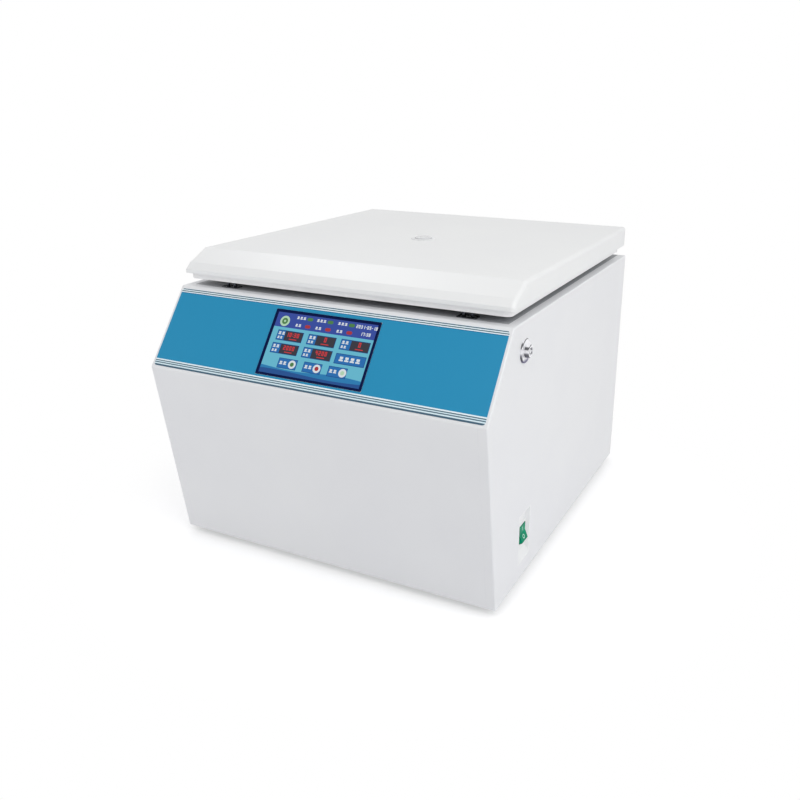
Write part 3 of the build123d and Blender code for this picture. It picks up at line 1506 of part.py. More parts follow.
drive_x = drive_side_gap + drive_width / 2 - inner_half_width
supply_x = inner_half_width - supply_side_gap - supply_width / 2
supply_y = rotor_y - plate_half + post_inset_y + post_radius + supply_post_gap + supply_length / 2
board_low = base_top + standoff_height
drive_hole_x = drive_width - 2 * board_hole_inset
drive_hole_y = drive_length - 2 * board_hole_inset
with BuildPart() as board_spacers:
    with BuildSketch(fascia_plane.offset(bracket_back)):
        with Locations((0, screen_up)):
            with GridLocations(2 * hole_x, 2 * hole_up, 2, 2):
                Circle(spacer_radius)
    extrude(amount=-spacer_height)
    with BuildSketch(Plane.XY.offset(base_top)):
        with Locations((drive_x, drive_y)):
            with GridLocations(drive_hole_x, drive_hole_y, 2, 2):
                Circle(spacer_radius)
    extrude(amount=standoff_height)
board_spacers.part.label = "board_spacers"
export_step(board_spacers.part, "parts/board_spacers.step")

board_high = board_low + board_thickness
with BuildPart() as drive_board:
    with BuildSketch(Plane.XY.offset(board_low)):
        with Locations((drive_x, drive_y)):
            Rectangle(drive_width, drive_length)
    extrude(amount=board_thickness)
    with BuildSketch(Plane.XY.offset(board_high)):
        with Locations((drive_x, drive_y + drive_length / 2 - 2 * capacitor_radius)):
            with GridLocations(2.6 * capacitor_radius, 1, 3, 1):
                Circle(capacitor_radius)
    extrude(amount=capacitor_height)
    with BuildSketch(Plane.XY.offset(board_high)):
        with Locations((drive_x, drive_y - drive_length / 2 + terminal_width)):
            Rectangle(terminal_length, terminal_width)
    extrude(amount=terminal_height)
drive_board.part.label = "drive_board"
export_step(drive_board.part, "parts/drive_board.step")

with BuildPart() as heat_sink:
    with BuildSketch(Plane.XY.offset(board_high)):
        with Locations((drive_x, drive_y)):
            Rectangle(sink_width, sink_length)
    extrude(amount=sink_base)
    with BuildSketch(Plane.XY.offset(board_high + sink_base)):
        with Locations((drive_x, drive_y)):
            with GridLocations((sink_width - sink_fin_sheet) / (sink_fins - 1), 1, sink_fins, 1):
                Rectangle(sink_fin_sheet, sink_length)
    extrude(amount=sink_height - sink_base)
heat_sink.part.label = "heat_sink"
export_step(heat_sink.part, "parts/heat_sink.step")

with BuildPart() as power_supply:
    with BuildSketch(Plane.XY.offset(base_top)):
        with Locations((supply_x, supply_y)):
            Rectangle(supply_width, supply_length)
    extrude(amount=supply_height)
    with BuildSketch(Plane.XY.offset(base_top + supply_height)):
        with Locations((supply_x, supply_y)):
            with GridLocations(3 * supply_slot, 1, 7, 1):
                SlotOverall(0.75 * supply_length, supply_slot, rotation=90)
    extrude(amount=-supply_sheet, mode=Mode.SUBTRACT)
power_supply.part.label = "power_supply"
export_step(power_supply.part, "parts/power_supply.step")
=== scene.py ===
"""Finishes and small fittings of the bench-top microplate centrifuge.

The machine is dressed in this order: base and screws, cabinet, fascia film, touch screen and
boards, switch, lock, chamber and motor, rotor, lid, fan guard.  The studio comes last.
Metres; X runs across the front, Y from the front to the back, Z up from the bench.
"""
from math import cos, pi, radians, sin

import bmesh
import bpy
from mathutils import Matrix, Quaternion, Vector


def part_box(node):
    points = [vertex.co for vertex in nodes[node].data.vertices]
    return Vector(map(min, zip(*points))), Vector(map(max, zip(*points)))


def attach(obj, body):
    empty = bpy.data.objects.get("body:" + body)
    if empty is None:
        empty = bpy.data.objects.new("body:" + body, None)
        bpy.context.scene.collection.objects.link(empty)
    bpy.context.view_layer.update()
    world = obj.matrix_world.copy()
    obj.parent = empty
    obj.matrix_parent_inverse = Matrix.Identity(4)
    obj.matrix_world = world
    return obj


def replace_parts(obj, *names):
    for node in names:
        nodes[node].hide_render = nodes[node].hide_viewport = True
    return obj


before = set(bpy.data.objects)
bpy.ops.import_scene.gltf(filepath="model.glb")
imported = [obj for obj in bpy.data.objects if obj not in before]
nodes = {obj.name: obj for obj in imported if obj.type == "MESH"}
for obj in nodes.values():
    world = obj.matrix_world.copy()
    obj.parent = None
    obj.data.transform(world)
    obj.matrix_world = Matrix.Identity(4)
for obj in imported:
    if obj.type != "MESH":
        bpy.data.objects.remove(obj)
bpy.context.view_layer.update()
MM = 0.001

# ------------------------------------------------------------------ base tray and screws
# A folded zinc-plated tray stands on four rubber feet.  The screws, posts and brackets of
# the machine share its plating: thin, bluish, a little cloudy, and bright where it is rubbed.


def shader_group(name, inputs, outputs):
    """An empty shader group: its tree, the node of its inputs and the node of its outputs."""
    tree = bpy.data.node_groups.new(name, "ShaderNodeTree")
    for label, kind, start in inputs:
        socket = tree.interface.new_socket(label, in_out="INPUT", socket_type=kind)
        socket.default_value = start
    for label, kind in outputs:
        tree.interface.new_socket(label, in_out="OUTPUT", socket_type=kind)
    return tree, tree.nodes.new("NodeGroupInput"), tree.nodes.new("NodeGroupOutput")


def add_node(tree, kind, **settings):
    """A node in a shader or geometry tree, with its settings and, by name, its input values."""
    node = tree.nodes.new(kind)
    for key, value in settings.pop("values", {}).items():
        node.inputs[key].default_value = value
    for key, value in settings.items():
        setattr(node, key, value)
    return node


def join(tree, *pairs):
    """Link each output to the input that is paired with it."""
    for start, stop in pairs:
        tree.links.new(start, stop)


def fill_ramp(node, steps):
    """Give a colour ramp its steps, each a place from 0 to 1 and a colour."""
    stops = node.color_ramp.elements
    while len(stops) > 1:
        stops.remove(stops[-1])
    stops[0].position, stops[0].color = steps[0]
    for place_on_ramp, colour in steps[1:]:
        stops.new(place_on_ramp).color = colour


def stand(name, mesh, body=None):
    """Put a mesh in the scene as one object, and let it ride on a body if one is named."""
    made = bpy.data.objects.new(name, mesh)
    bpy.context.scene.collection.objects.link(made)
    if body:
        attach(made, body)
    return made


# Where two faces meet at an edge the coating is thin: the rounded normal leaves the true one.
# On some finishes the same edge mask carries painted highlights and painted shade instead of wear.
worn_edges, group_in, group_out = shader_group(
    "worn_edges",
    [("Radius", "NodeSocketFloat", 0.001), ("Breakup", "NodeSocketFloat", 90.0)],
    [("Mask", "NodeSocketFloat")],
)
place = add_node(worn_edges, "ShaderNodeTexCoord")
rounded = add_node(worn_edges, "ShaderNodeBevel", samples=4)
flat = add_node(worn_edges, "ShaderNodeNewGeometry")
agree = add_node(worn_edges, "ShaderNodeVectorMath", operation="DOT_PRODUCT")
patchy = add_node(worn_edges, "ShaderNodeTexNoise", values={"Detail": 5.0, "Roughness": 0.65})
off_true_normal = add_node(worn_edges, "ShaderNodeMapRange", values={"From Min": 0.97, "From Max": 0.75})
share = add_node(worn_edges, "ShaderNodeMapRange", values={"From Min": 0.42, "From Max": 0.62})
both = add_node(worn_edges, "ShaderNodeMath", operation="MULTIPLY")
join(
    worn_edges,
    (group_in.outputs["Radius"], rounded.inputs["Radius"]),
    (rounded.outputs[0], agree.inputs[0]),
    (flat.outputs["Normal"], agree.inputs[1]),
    (agree.outputs["Value"], off_true_normal.inputs["Value"]),
    (place.outputs["Object"], patchy.inputs["Vector"]),
    (group_in.outputs["Breakup"], patchy.inputs["Scale"]),
    (patchy.outputs[0], share.inputs["Value"]),
    (off_true_normal.outputs[0], both.inputs[0]),
    (share.outputs[0], both.inputs[1]),
    (both.outputs[0], group_out.inputs["Mask"]),
)

# Slow clouds for colour, fine grain for height, and streaks for the rub of a brush or roller.
surface_grain, group_in, group_out = shader_group(
    "surface_grain",
    [("Cloud Scale", "NodeSocketFloat", 8.0), ("Grain Scale", "NodeSocketFloat", 900.0),
     ("Stretch", "NodeSocketVector", (1.0, 1.0, 1.0))],
    [("Cloud", "NodeSocketFloat"), ("Grain", "NodeSocketFloat")],
)
place = add_node(surface_grain, "ShaderNodeTexCoord")
cloud = add_node(surface_grain, "ShaderNodeTexNoise", values={"Detail": 3.0, "Roughness": 0.55})
drawn = add_node(surface_grain, "ShaderNodeVectorMath", operation="MULTIPLY")
grain = add_node(surface_grain, "ShaderNodeTexNoise", values={"Detail": 2.0, "Roughness": 0.5})
join(
    surface_grain,
    (place.outputs["Object"], cloud.inputs["Vector"]),
    (group_in.outputs["Cloud Scale"], cloud.inputs["Scale"]),
    (place.outputs["Object"], drawn.inputs[0]),
    (group_in.outputs["Stretch"], drawn.inputs[1]),
    (drawn.outputs[0], grain.inputs["Vector"]),
    (group_in.outputs["Grain Scale"], grain.inputs["Scale"]),
    (cloud.outputs[0], group_out.inputs["Cloud"]),
    (grain.outputs[0], group_out.inputs["Grain"]),
)


def tone(red, green, blue):
    """A colour given as it looks, 0 to 255 a channel, in the shader's own linear values."""
    share = [channel / 255 for channel in (red, green, blue)]
    return (*[s / 12.92 if s <= 0.04045 else ((s + 0.055) / 1.055) ** 2.4 for s in share], 1.0)


def finish(name, clean, drift, edge_wear_and_painted_light, cloud=8.0, grain=900.0, stretch=(1.0, 1.0, 1.0), bump=0.1,
           depth=0.00005, rough=(0.4, 0.5), edge=0.001, **uniform):
    """A finish of clean, drifted and edge colour, with grain and uneven gloss; the edges show wear
    on some finishes and painted light on others.
    """
    made = bpy.data.materials.new(name)
    made.use_nodes = True
    tree = made.node_tree
    shader = tree.nodes["Principled BSDF"]
    for key, value in uniform.items():
        shader.inputs[key.replace("_", " ")].default_value = value
    texture = add_node(tree, "ShaderNodeGroup", node_tree=surface_grain, name="texture")
    texture.inputs["Cloud Scale"].default_value = cloud
    texture.inputs["Grain Scale"].default_value = grain
    texture.inputs["Stretch"].default_value = stretch
    edges = add_node(tree, "ShaderNodeGroup", node_tree=worn_edges, name="edges")
    edges.inputs["Radius"].default_value = edge
    drifted = add_node(tree, "ShaderNodeMix", data_type="RGBA", name="drifted")
    drifted.inputs["A"].default_value = clean
    drifted.inputs["B"].default_value = drift
    wear_and_painted_light_mix = add_node(tree, "ShaderNodeMix", data_type="RGBA", name="wear_and_painted_light_mix")
    wear_and_painted_light_mix.inputs["B"].default_value = edge_wear_and_painted_light
    gloss = add_node(tree, "ShaderNodeMapRange", name="gloss",
                     values={"From Min": 0.3, "From Max": 0.7, "To Min": rough[0], "To Max": rough[1]})
    relief = add_node(tree, "ShaderNodeBump", name="relief", values={"Strength": bump, "Distance": depth})
    spread = add_node(tree, "ShaderNodeMapRange", values={"From Min": 0.35, "From Max": 0.65})
    join(
        tree,
        (texture.outputs["Cloud"], spread.inputs["Value"]),
        (spread.outputs[0], drifted.inputs["Factor"]),
        (drifted.outputs["Result"], wear_and_painted_light_mix.inputs["A"]),
        (edges.outputs["Mask"], wear_and_painted_light_mix.inputs["Factor"]),
        (wear_and_painted_light_mix.outputs["Result"], shader.inputs["Base Color"]),
        (texture.outputs["Grain"], gloss.inputs["Value"]),
        (gloss.outputs[0], shader.inputs["Roughness"]),
        (texture.outputs["Grain"], relief.inputs["Height"]),
        (relief.outputs[0], shader.inputs["Normal"]),
    )
    return made


def dress(finish_made, *names):
    """Put one finish on CAD nodes, in place of the one that they came with."""
    for name in names:
        mesh = nodes[name].data
        mesh.materials.clear()
        mesh.materials.append(finish_made)


zinc_plate = finish(
    "zinc_plate", tone(186, 189, 190), tone(168, 171, 170), tone(214, 215, 214), cloud=26.0, grain=420.0,
    stretch=(1.0, 6.0, 1.0), bump=0.12, rough=(0.3, 0.44), edge=0.0008, Metallic=1.0,
)
dress(zinc_plate, "base_plate", "board_spacers", "lock_nut", "lcd_bracket",
      "guard_ring", "chamber_plate", "chamber_posts", "hinge_leaves", "hinge_arms",
      "latch_brackets", "latch_shaft", "latch_arms", "solenoid_plunger",
      "power_supply", "lid_screws")


def growing_tree(name, inputs):
    """An empty geometry tree with named inputs, and its input and output nodes."""
    tree = bpy.data.node_groups.new(name, "GeometryNodeTree")
    tree.interface.new_socket("Geometry", in_out="INPUT", socket_type="NodeSocketGeometry")
    for label, kind, start in inputs:
        socket = tree.interface.new_socket(label, in_out="INPUT", socket_type=kind)
        if start is not None:
            socket.default_value = start
    tree.interface.new_socket("Geometry", in_out="OUTPUT", socket_type="NodeSocketGeometry")
    return tree, tree.nodes.new("NodeGroupInput"), tree.nodes.new("NodeGroupOutput")


def grow(tree, points, **values):
    """Run a geometry tree on loose points and give the plain mesh that it makes."""
    seed_mesh = bpy.data.meshes.new("seed")
    seed_mesh.from_pydata(points, [], [])
    seed = stand("seed", seed_mesh)
    growth = seed.modifiers.new("growth", "NODES")
    growth.node_group = tree
    for item in tree.interface.items_tree:
        if item.in_out == "INPUT" and item.name.replace(" ", "_") in values:
            growth[item.identifier] = values[item.name.replace(" ", "_")]
    grown_seed = seed.evaluated_get(bpy.context.evaluated_depsgraph_get())
    made = bpy.data.meshes.new_from_object(grown_seed)
    seed.modifiers.remove(growth)
    bpy.data.objects.remove(seed)
    return made


def solid_boxes(name):
    """The lowest and highest corners of each separate solid of a CAD node."""
    merged = bmesh.new()
    merged.from_mesh(nodes[name].data)
    bmesh.ops.remove_doubles(merged, verts=merged.verts, dist=0.00001)
    left, boxes = dict.fromkeys(merged.verts), []
    while left:
        reached = [left.popitem()[0]]
        for vertex in reached:
            for edge in vertex.link_edges:
                if (other := edge.other_vert(vertex)) in left:
                    del left[other]
                    reached.append(other)
        boxes.append([Vector([pick(v.co[i] for v in reached) for i in range(3)])
                      for pick in (min, max)])
    merged.free()
    return boxes


# A cross-recessed screw stands on its seat, looks up and is turned to its place by Aim.  The
# head is half a ball, pressed flat, with the recess cut out of it; the shank runs down.
driven_screws, grow_in, grow_out = growing_tree("driven_screws", [
    ("Head Radius", "NodeSocketFloat", 0.004), ("Head Height", "NodeSocketFloat", 0.002),
    ("Recess Length", "NodeSocketFloat", 1.15), ("Recess Width", "NodeSocketFloat", 0.2),
    ("Recess Depth", "NodeSocketFloat", 1.1), ("Shank Radius", "NodeSocketFloat", 0.002),
    ("Shank Length", "NodeSocketFloat", 0.004), ("Aim", "NodeSocketVector", (0.0, 0.0, 0.0)),
    ("Finish", "NodeSocketMaterial", None),
])
ball = add_node(driven_screws, "GeometryNodeMeshUVSphere",
                values={"Segments": 40, "Rings": 20, "Radius": 1.0})
upper_block = add_node(driven_screws, "GeometryNodeMeshCube", values={"Size": (3.0, 3.0, 3.0)})
lifted_block = add_node(driven_screws, "GeometryNodeTransform", values={"Translation": (0.0, 0.0, 1.5)})
half_ball = add_node(driven_screws, "GeometryNodeMeshBoolean", operation="INTERSECT", solver="EXACT")
recess_size = add_node(driven_screws, "ShaderNodeCombineXYZ")
recess_arm = add_node(driven_screws, "GeometryNodeMeshCube")
raised_arm = add_node(driven_screws, "GeometryNodeTransform", values={"Translation": (0.0, 0.0, 1.0)})
crossed_arm = add_node(driven_screws, "GeometryNodeTransform", values={"Rotation": (0.0, 0.0, pi / 2)})
cut_head = add_node(driven_screws, "GeometryNodeMeshBoolean", operation="DIFFERENCE", solver="EXACT")
head_size = add_node(driven_screws, "ShaderNodeCombineXYZ")
sized_head = add_node(driven_screws, "GeometryNodeTransform")
shank = add_node(driven_screws, "GeometryNodeMeshCylinder", values={"Vertices": 28})
half_length = add_node(driven_screws, "ShaderNodeMath", operation="MULTIPLY")
half_length.inputs[1].default_value = -0.49
shank_place = add_node(driven_screws, "ShaderNodeCombineXYZ")
sunk_shank = add_node(driven_screws, "GeometryNodeTransform")
whole_screw = add_node(driven_screws, "GeometryNodeJoinGeometry")
turned = add_node(driven_screws, "FunctionNodeEulerToRotation")
placed = add_node(driven_screws, "GeometryNodeInstanceOnPoints")
real = add_node(driven_screws, "GeometryNodeRealizeInstances")
coated = add_node(driven_screws, "GeometryNodeSetMaterial")
join(
    driven_screws,
    (ball.outputs["Mesh"], half_ball.inputs["Mesh 2"]),
    (upper_block.outputs["Mesh"], lifted_block.inputs[0]),
    (lifted_block.outputs[0], half_ball.inputs["Mesh 2"]),
    (grow_in.outputs["Recess Length"], recess_size.inputs["X"]),
    (grow_in.outputs["Recess Width"], recess_size.inputs["Y"]),
    (grow_in.outputs["Recess Depth"], recess_size.inputs["Z"]),
    (recess_size.outputs[0], recess_arm.inputs["Size"]),
    (recess_arm.outputs["Mesh"], raised_arm.inputs[0]),
    (raised_arm.outputs[0], crossed_arm.inputs[0]),
    (half_ball.outputs["Mesh"], cut_head.inputs["Mesh 1"]),
    (raised_arm.outputs[0], cut_head.inputs["Mesh 2"]),
    (crossed_arm.outputs[0], cut_head.inputs["Mesh 2"]),
    (grow_in.outputs["Head Radius"], head_size.inputs["X"]),
    (grow_in.outputs["Head Radius"], head_size.inputs["Y"]),
    (grow_in.outputs["Head Height"], head_size.inputs["Z"]),
    (cut_head.outputs["Mesh"], sized_head.inputs[0]),
    (head_size.outputs[0], sized_head.inputs["Scale"]),
    (grow_in.outputs["Shank Radius"], shank.inputs["Radius"]),
    (grow_in.outputs["Shank Length"], shank.inputs["Depth"]),
    (grow_in.outputs["Shank Length"], half_length.inputs[0]),
    (half_length.outputs[0], shank_place.inputs["Z"]),
    (shank.outputs["Mesh"], sunk_shank.inputs[0]),
    (shank_place.outputs[0], sunk_shank.inputs["Translation"]),
    (sized_head.outputs[0], whole_screw.inputs[0]),
    (sunk_shank.outputs[0], whole_screw.inputs[0]),
    (grow_in.outputs["Geometry"], placed.inputs["Points"]),
    (whole_screw.outputs[0], placed.inputs["Instance"]),
    (grow_in.outputs["Aim"], turned.inputs[0]),
    (turned.outputs[0], placed.inputs["Rotation"]),
    (placed.outputs[0], real.inputs[0]),
    (real.outputs[0], coated.inputs[0]),
    (grow_in.outputs["Finish"], coated.inputs["Material"]),
    (coated.outputs[0], grow_out.inputs[0]),
)

# The rear heads are thin, and the foot screws long: they stand on end, heads down.
longest_rear = 10 * MM
foot_head_height = 3.5 * MM
rear_seats, foot_seats = [], []
for low, high in solid_boxes("cabinet_screws"):
    if high.z - low.z < longest_rear:
        rear_seats.append(((low.x + high.x) / 2, low.y, (low.z + high.z) / 2))
        rear_head = (high.x - low.x) / 2, high.y - low.y
    else:
        foot_seats.append(((low.x + high.x) / 2, (low.y + high.y) / 2, low.z + foot_head_height))
        foot_head, foot_reach = (high.x - low.x) / 2, high.z - low.z - foot_head_height
cabinet_set = bmesh.new()
cabinet_set.from_mesh(grow(
    driven_screws, rear_seats, Head_Radius=rear_head[0], Head_Height=rear_head[1], Shank_Radius=2 * MM,
    Shank_Length=1.5 * MM, Aim=(-pi / 2, 0.0, 0.0), Finish=zinc_plate))
cabinet_set.from_mesh(grow(
    driven_screws, foot_seats, Head_Radius=foot_head, Head_Height=foot_head_height, Shank_Radius=3 * MM,
    Shank_Length=foot_reach, Aim=(pi, 0.0, 0.0), Finish=zinc_plate))
nut_radius, nut_height, nut_chamfer = 5.8 * MM, 4.6 * MM, 0.5 * MM
nut_from_tip = 2.7 * MM
for x, y, z in foot_seats:
    nut = bmesh.ops.create_cone(
        cabinet_set, cap_ends=True, segments=6, radius1=nut_radius, radius2=nut_radius, depth=nut_height,
        matrix=Matrix.Translation((x, y, z + foot_reach - nut_from_tip)))
    rims = dict.fromkeys(edge for vertex in nut["verts"] for edge in vertex.link_edges
                         if len(edge.link_faces[0].verts) == 6 or len(edge.link_faces[1].verts) == 6)
    bmesh.ops.bevel(cabinet_set, geom=list(rims), offset=nut_chamfer, segments=2, affect="EDGES")
# Cutting the recess leaves slivers with no area, which welding takes away.
weld_reach = 0.0001 * MM
bmesh.ops.remove_doubles(cabinet_set, verts=cabinet_set.verts, dist=weld_reach)
cabinet_screw_mesh = bpy.data.meshes.new("cabinet_screw_set")
cabinet_set.to_mesh(cabinet_screw_mesh)
cabinet_set.free()
cabinet_screw_mesh.materials.append(zinc_plate)
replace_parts(stand("cabinet_screw_set", cabinet_screw_mesh, "housing"), "cabinet_screws")

# Moulded black rubber: matt, faintly dusty, and paler where an edge has scuffed.
black_rubber = finish(
    "black_rubber", tone(38, 38, 40), tone(48, 48, 49), tone(74, 74, 74), cloud=40.0, grain=1500.0,
    bump=0.35, rough=(0.68, 0.82), edge=0.0012,
)
dress(black_rubber, "rubber_feet", "motor_mounts", "spindle_boot")

# ------------------------------------------------------------------ cabinet panels
# Folded 2 mm sheet, welded at the seams, dressed flat and powder coated in satin white.
# The powder leaves a fine orange peel and thins to a hair of grey on the sharpest edges.
powder_coat = finish(
    "powder_coat", tone(232, 233, 235), tone(229, 230, 233), tone(214, 216, 219), cloud=5.0, grain=620.0,
    bump=0.16, depth=0.00004, rough=(0.36, 0.44), edge=0.0006, Specular_IOR_Level=0.45,
)
dress(powder_coat, "front_panel", "left_side_panel", "right_side_panel", "rear_panel")
# Painted light: a lighter copy of the cabinet coat for the pocket walls, with painted highlights on its
# edges.
pocket_coat = finish(
    "pocket_coat", tone(236, 237, 238), tone(232, 233, 235), tone(255, 255, 255), cloud=14.0, grain=620.0,
    bump=0.16, depth=0.00004, rough=(0.36, 0.44), edge=0.0022, Specular_IOR_Level=0.45,
)
dress(pocket_coat, "switch_pocket")
# Painted shade: the deck is coated mid grey to stand for the shade under the lid.
deck_coat = finish(
    "deck_coat", tone(173, 175, 179), tone(158, 160, 164), tone(186, 187, 189), cloud=7.0, grain=620.0,
    bump=0.2, depth=0.00004, rough=(0.42, 0.52), edge=0.0006, Specular_IOR_Level=0.4,
)
dress(deck_coat, "top_deck")

# ------------------------------------------------------------------ fascia film
# A printed polyester film covers the slanted fascia: a blue field between a band of two dark
# lines above and a band of three below.  It is bonded flat and has a fine velvet face.
film_out = max(nodes["fascia_overlay"].data.polygons,
               key=lambda face: face.area * -face.normal.y).normal.copy()
film_up = Vector((0.0, film_out.z, -film_out.y))
film_heights = [vertex.co.dot(film_up) for vertex in nodes["fascia_overlay"].data.vertices]
film_span = max(film_heights) - min(film_heights)
# Where each printed band starts, in mm up from the film's lower edge.
film_blue = tone(36, 143, 187)
film_rim = tone(8, 104, 150)
film_pale = tone(216, 236, 243)
film_white = tone(234, 246, 250)
film_line = tone(70, 100, 120)
print_bands = [
    (0.0, film_line), (2.1, film_pale), (4.2, film_line), (5.4, film_pale), (7.0, film_line),
    (8.2, film_white), (10.1, film_blue), (113.2, film_rim), (114.3, film_white),
    (115.7, film_line), (117.1, film_white), (118.7, film_line), (120.0, film_white),
]
printed_film = finish(
    "printed_film", film_blue, film_blue, tone(120, 180, 205), cloud=6.0, grain=1400.0,
    bump=0.12, depth=0.00002, rough=(0.34, 0.42), edge=0.0004, Specular_IOR_Level=0.25,
)
tree = printed_film.node_tree
place = add_node(tree, "ShaderNodeTexCoord")
from_foot = add_node(tree, "ShaderNodeMath", operation="SUBTRACT")
from_foot.inputs[1].default_value = min(film_heights)
climb = add_node(tree, "ShaderNodeVectorMath", operation="DOT_PRODUCT")
climb.inputs[1].default_value = film_up
height_share = add_node(tree, "ShaderNodeMath", operation="DIVIDE")
height_share.inputs[1].default_value = film_span
bands = add_node(tree, "ShaderNodeValToRGB")
bands.color_ramp.interpolation = "CONSTANT"
fill_ramp(bands, [(start * MM / film_span, colour) for start, colour in print_bands])
uneven_ink = add_node(tree, "ShaderNodeMix", data_type="RGBA", blend_type="MULTIPLY")
uneven_ink.inputs["B"].default_value = tone(250, 251, 252)
join(
    tree,
    (place.outputs["Object"], climb.inputs[0]),
    (climb.outputs["Value"], from_foot.inputs[0]),
    (from_foot.outputs[0], height_share.inputs[0]),
    (height_share.outputs[0], bands.inputs["Fac"]),
    (bands.outputs["Color"], uneven_ink.inputs["A"]),
    (tree.nodes["texture"].outputs["Cloud"], uneven_ink.inputs["Factor"]),
    (uneven_ink.outputs["Result"], tree.nodes["wear_and_painted_light_mix"].inputs["A"]),
)
dress(printed_film, "fascia_overlay")

# ------------------------------------------------------------------ touch screen
# A black-bordered cover glass over a lit 7-inch display.  The picture is a generic set of
# readouts, plain digits and round keys, laid as thin lit tiles on the face of the glass.
cover_glass = finish(
    "cover_glass", tone(2, 18, 66), tone(4, 20, 70), tone(30, 46, 88), cloud=12.0, grain=300.0,
    bump=0.0, rough=(0.06, 0.1), edge=0.0004, Specular_IOR_Level=0.18,
)
dress(cover_glass, "touch_glass")
glass_points = [vertex.co for vertex in nodes["touch_glass"].data.vertices]
glass_heights = [point.dot(film_up) for point in glass_points]
screen_face = film_up * (min(glass_heights) + max(glass_heights)) / 2
screen_face += film_out * max(point.dot(film_out) for point in glass_points)


def lit(name, colour, level=0.82):
    """A lit area of the display: its colour shines through the gloss of the cover glass."""
    made = finish(name, tone(8, 10, 20), tone(8, 10, 20), tone(8, 10, 20), cloud=20.0, grain=2400.0,
                  bump=0.0, rough=(0.06, 0.1), edge=0.0001, Emission_Strength=level)
    tree = made.node_tree
    pixels = add_node(tree, "ShaderNodeMix", data_type="RGBA", blend_type="MULTIPLY")
    pixels.inputs["A"].default_value = colour
    pixels.inputs["B"].default_value = tone(236, 238, 240)
    join(
        tree,
        (tree.nodes["texture"].outputs["Grain"], pixels.inputs["Factor"]),
        (pixels.outputs["Result"], tree.nodes["Principled BSDF"].inputs["Emission Color"]),
    )
    return made


lights = {
    "sky": lit("display_sky", tone(112, 200, 224)),
    "band": lit("display_band", tone(58, 82, 170)),
    "wave": lit("display_wave", tone(44, 134, 192)),
    "deep": lit("display_deep", tone(36, 88, 156)),
    "tile": lit("display_tile", tone(38, 118, 190)),
    "frame": lit("display_frame", tone(22, 70, 140)),
    "dark": lit("display_dark", tone(60, 58, 66)),
    "red": lit("display_red", tone(226, 62, 66)),
    "green": lit("display_green", tone(84, 138, 76)),
    "white": lit("display_white", tone(240, 246, 250)),
    "warm": lit("display_warm", tone(184, 58, 62)),
    "leaf": lit("display_leaf", tone(196, 232, 196)),
}


def printed_sheet(middle, across, up, finishes, step=0.00003):
    """An empty face to lay thin printed or lit tiles on, with its own two directions."""
    return {"mesh": bmesh.new(), "middle": middle, "across": across, "up": up,
            "out": across.cross(up), "finishes": finishes, "step": step}


def tile(sheet, corners, light, layer):
    """A thin closed tile over the corners, in mm and counter-clockwise, on a layer."""
    rings = []
    for depth in (layer - 1, layer):
        rings.append([sheet["mesh"].verts.new(
            sheet["middle"] + sheet["across"] * (x * MM) + sheet["up"] * (y * MM)
            + sheet["out"] * (depth * sheet["step"])) for x, y in corners])
    low, high = rings
    faces = [sheet["mesh"].faces.new(high), sheet["mesh"].faces.new(low[::-1])]
    for i in range(len(corners)):
        j = (i + 1) % len(corners)
        faces.append(sheet["mesh"].faces.new((low[i], low[j], high[j], high[i])))
    for face in faces:
        face.material_index = list(sheet["finishes"]).index(light)


def plate(sheet, x0, y0, x1, y1, light, layer):
    """A square-cornered tile between two corners."""
    tile(sheet, [(x0, y0), (x1, y0), (x1, y1), (x0, y1)], light, layer)


def dot(sheet, x, y, radius, light, layer, count=24):
    """A round tile."""
    turn = 2 * pi / count
    tile(sheet, [(x + radius * cos(i * turn), y + radius * sin(i * turn)) for i in range(count)],
         light, layer)


def pill(sheet, x, y, half, radius, light, layer, count=8):
    """A tile with half-round ends."""
    ends = [(x + half, -pi / 2), (x - half, pi / 2)]
    tile(sheet, [(end + radius * cos(start + pi * i / count), y + radius * sin(start + pi * i / count))
                 for end, start in ends for i in range(count + 1)], light, layer)


def lay_sheet(name, sheet, body):
    """Close the sheet's mesh as one piece that rides on a body."""
    mesh = bpy.data.meshes.new(name)
    sheet["mesh"].to_mesh(mesh)
    sheet["mesh"].free()
    for made in sheet["finishes"].values():
        mesh.materials.append(made)
    return stand(name, mesh, body)


# Which of the seven bars of a digit are lit: top, upper right, lower right, bottom, lower left,
# upper left, middle.
digit_bars = {
    "0": "1111110", "1": "0110000", "2": "1101101", "3": "1111001", "4": "0110011",
    "5": "1011011", "6": "1011111", "7": "1110000", "8": "1111111", "9": "1111011",
}


def digits(sheet, text, x, y, height, light, layer):
    """Seven-bar digits, with colons and hyphens, that start at x on the line y."""
    width, bar = 0.54 * height, 0.2 * height
    pitch = 0.76 * height
    for sign in text:
        middle = y + height / 2
        if sign == ":":
            for rise in (0.3, 0.7):
                dot = y + rise * height
                plate(sheet, x, dot - bar / 2, x + bar, dot + bar / 2, light, layer)
            x += 0.4 * height
            continue
        if sign == "-":
            plate(sheet, x, middle - bar / 2, x + 0.3 * height, middle + bar / 2, light, layer)
            x += 0.5 * height
            continue
        bars = [
            (x, y + height - bar, x + width, y + height), (x + width - bar, middle, x + width, y + height),
            (x + width - bar, y, x + width, middle), (x, y, x + width, y + bar),
            (x, y, x + bar, middle), (x, middle, x + bar, y + height),
            (x, middle - bar / 2, x + width, middle + bar / 2),
        ]
        for on, corners in zip(digit_bars[sign], bars):
            if on == "1":
                plate(sheet, *corners, light, layer)
        x += pitch


def word_blocks(sheet, x, y, count, size, light, layer):
    """A caption too small to read: a row of small blocks, each a square with a notch."""
    for i in range(count):
        left = x + i * 1.35 * size
        plate(sheet, left, y, left + size, y + 0.34 * size, light, layer)
        plate(sheet, left + 0.1 * size, y + 0.5 * size, left + 0.9 * size, y + size, light, layer)
        plate(sheet, left + 0.36 * size, y + 0.34 * size, left + 0.62 * size, y + 0.5 * size, light, layer)


screen = printed_sheet(screen_face, Vector((1.0, 0.0, 0.0)), film_up, lights)
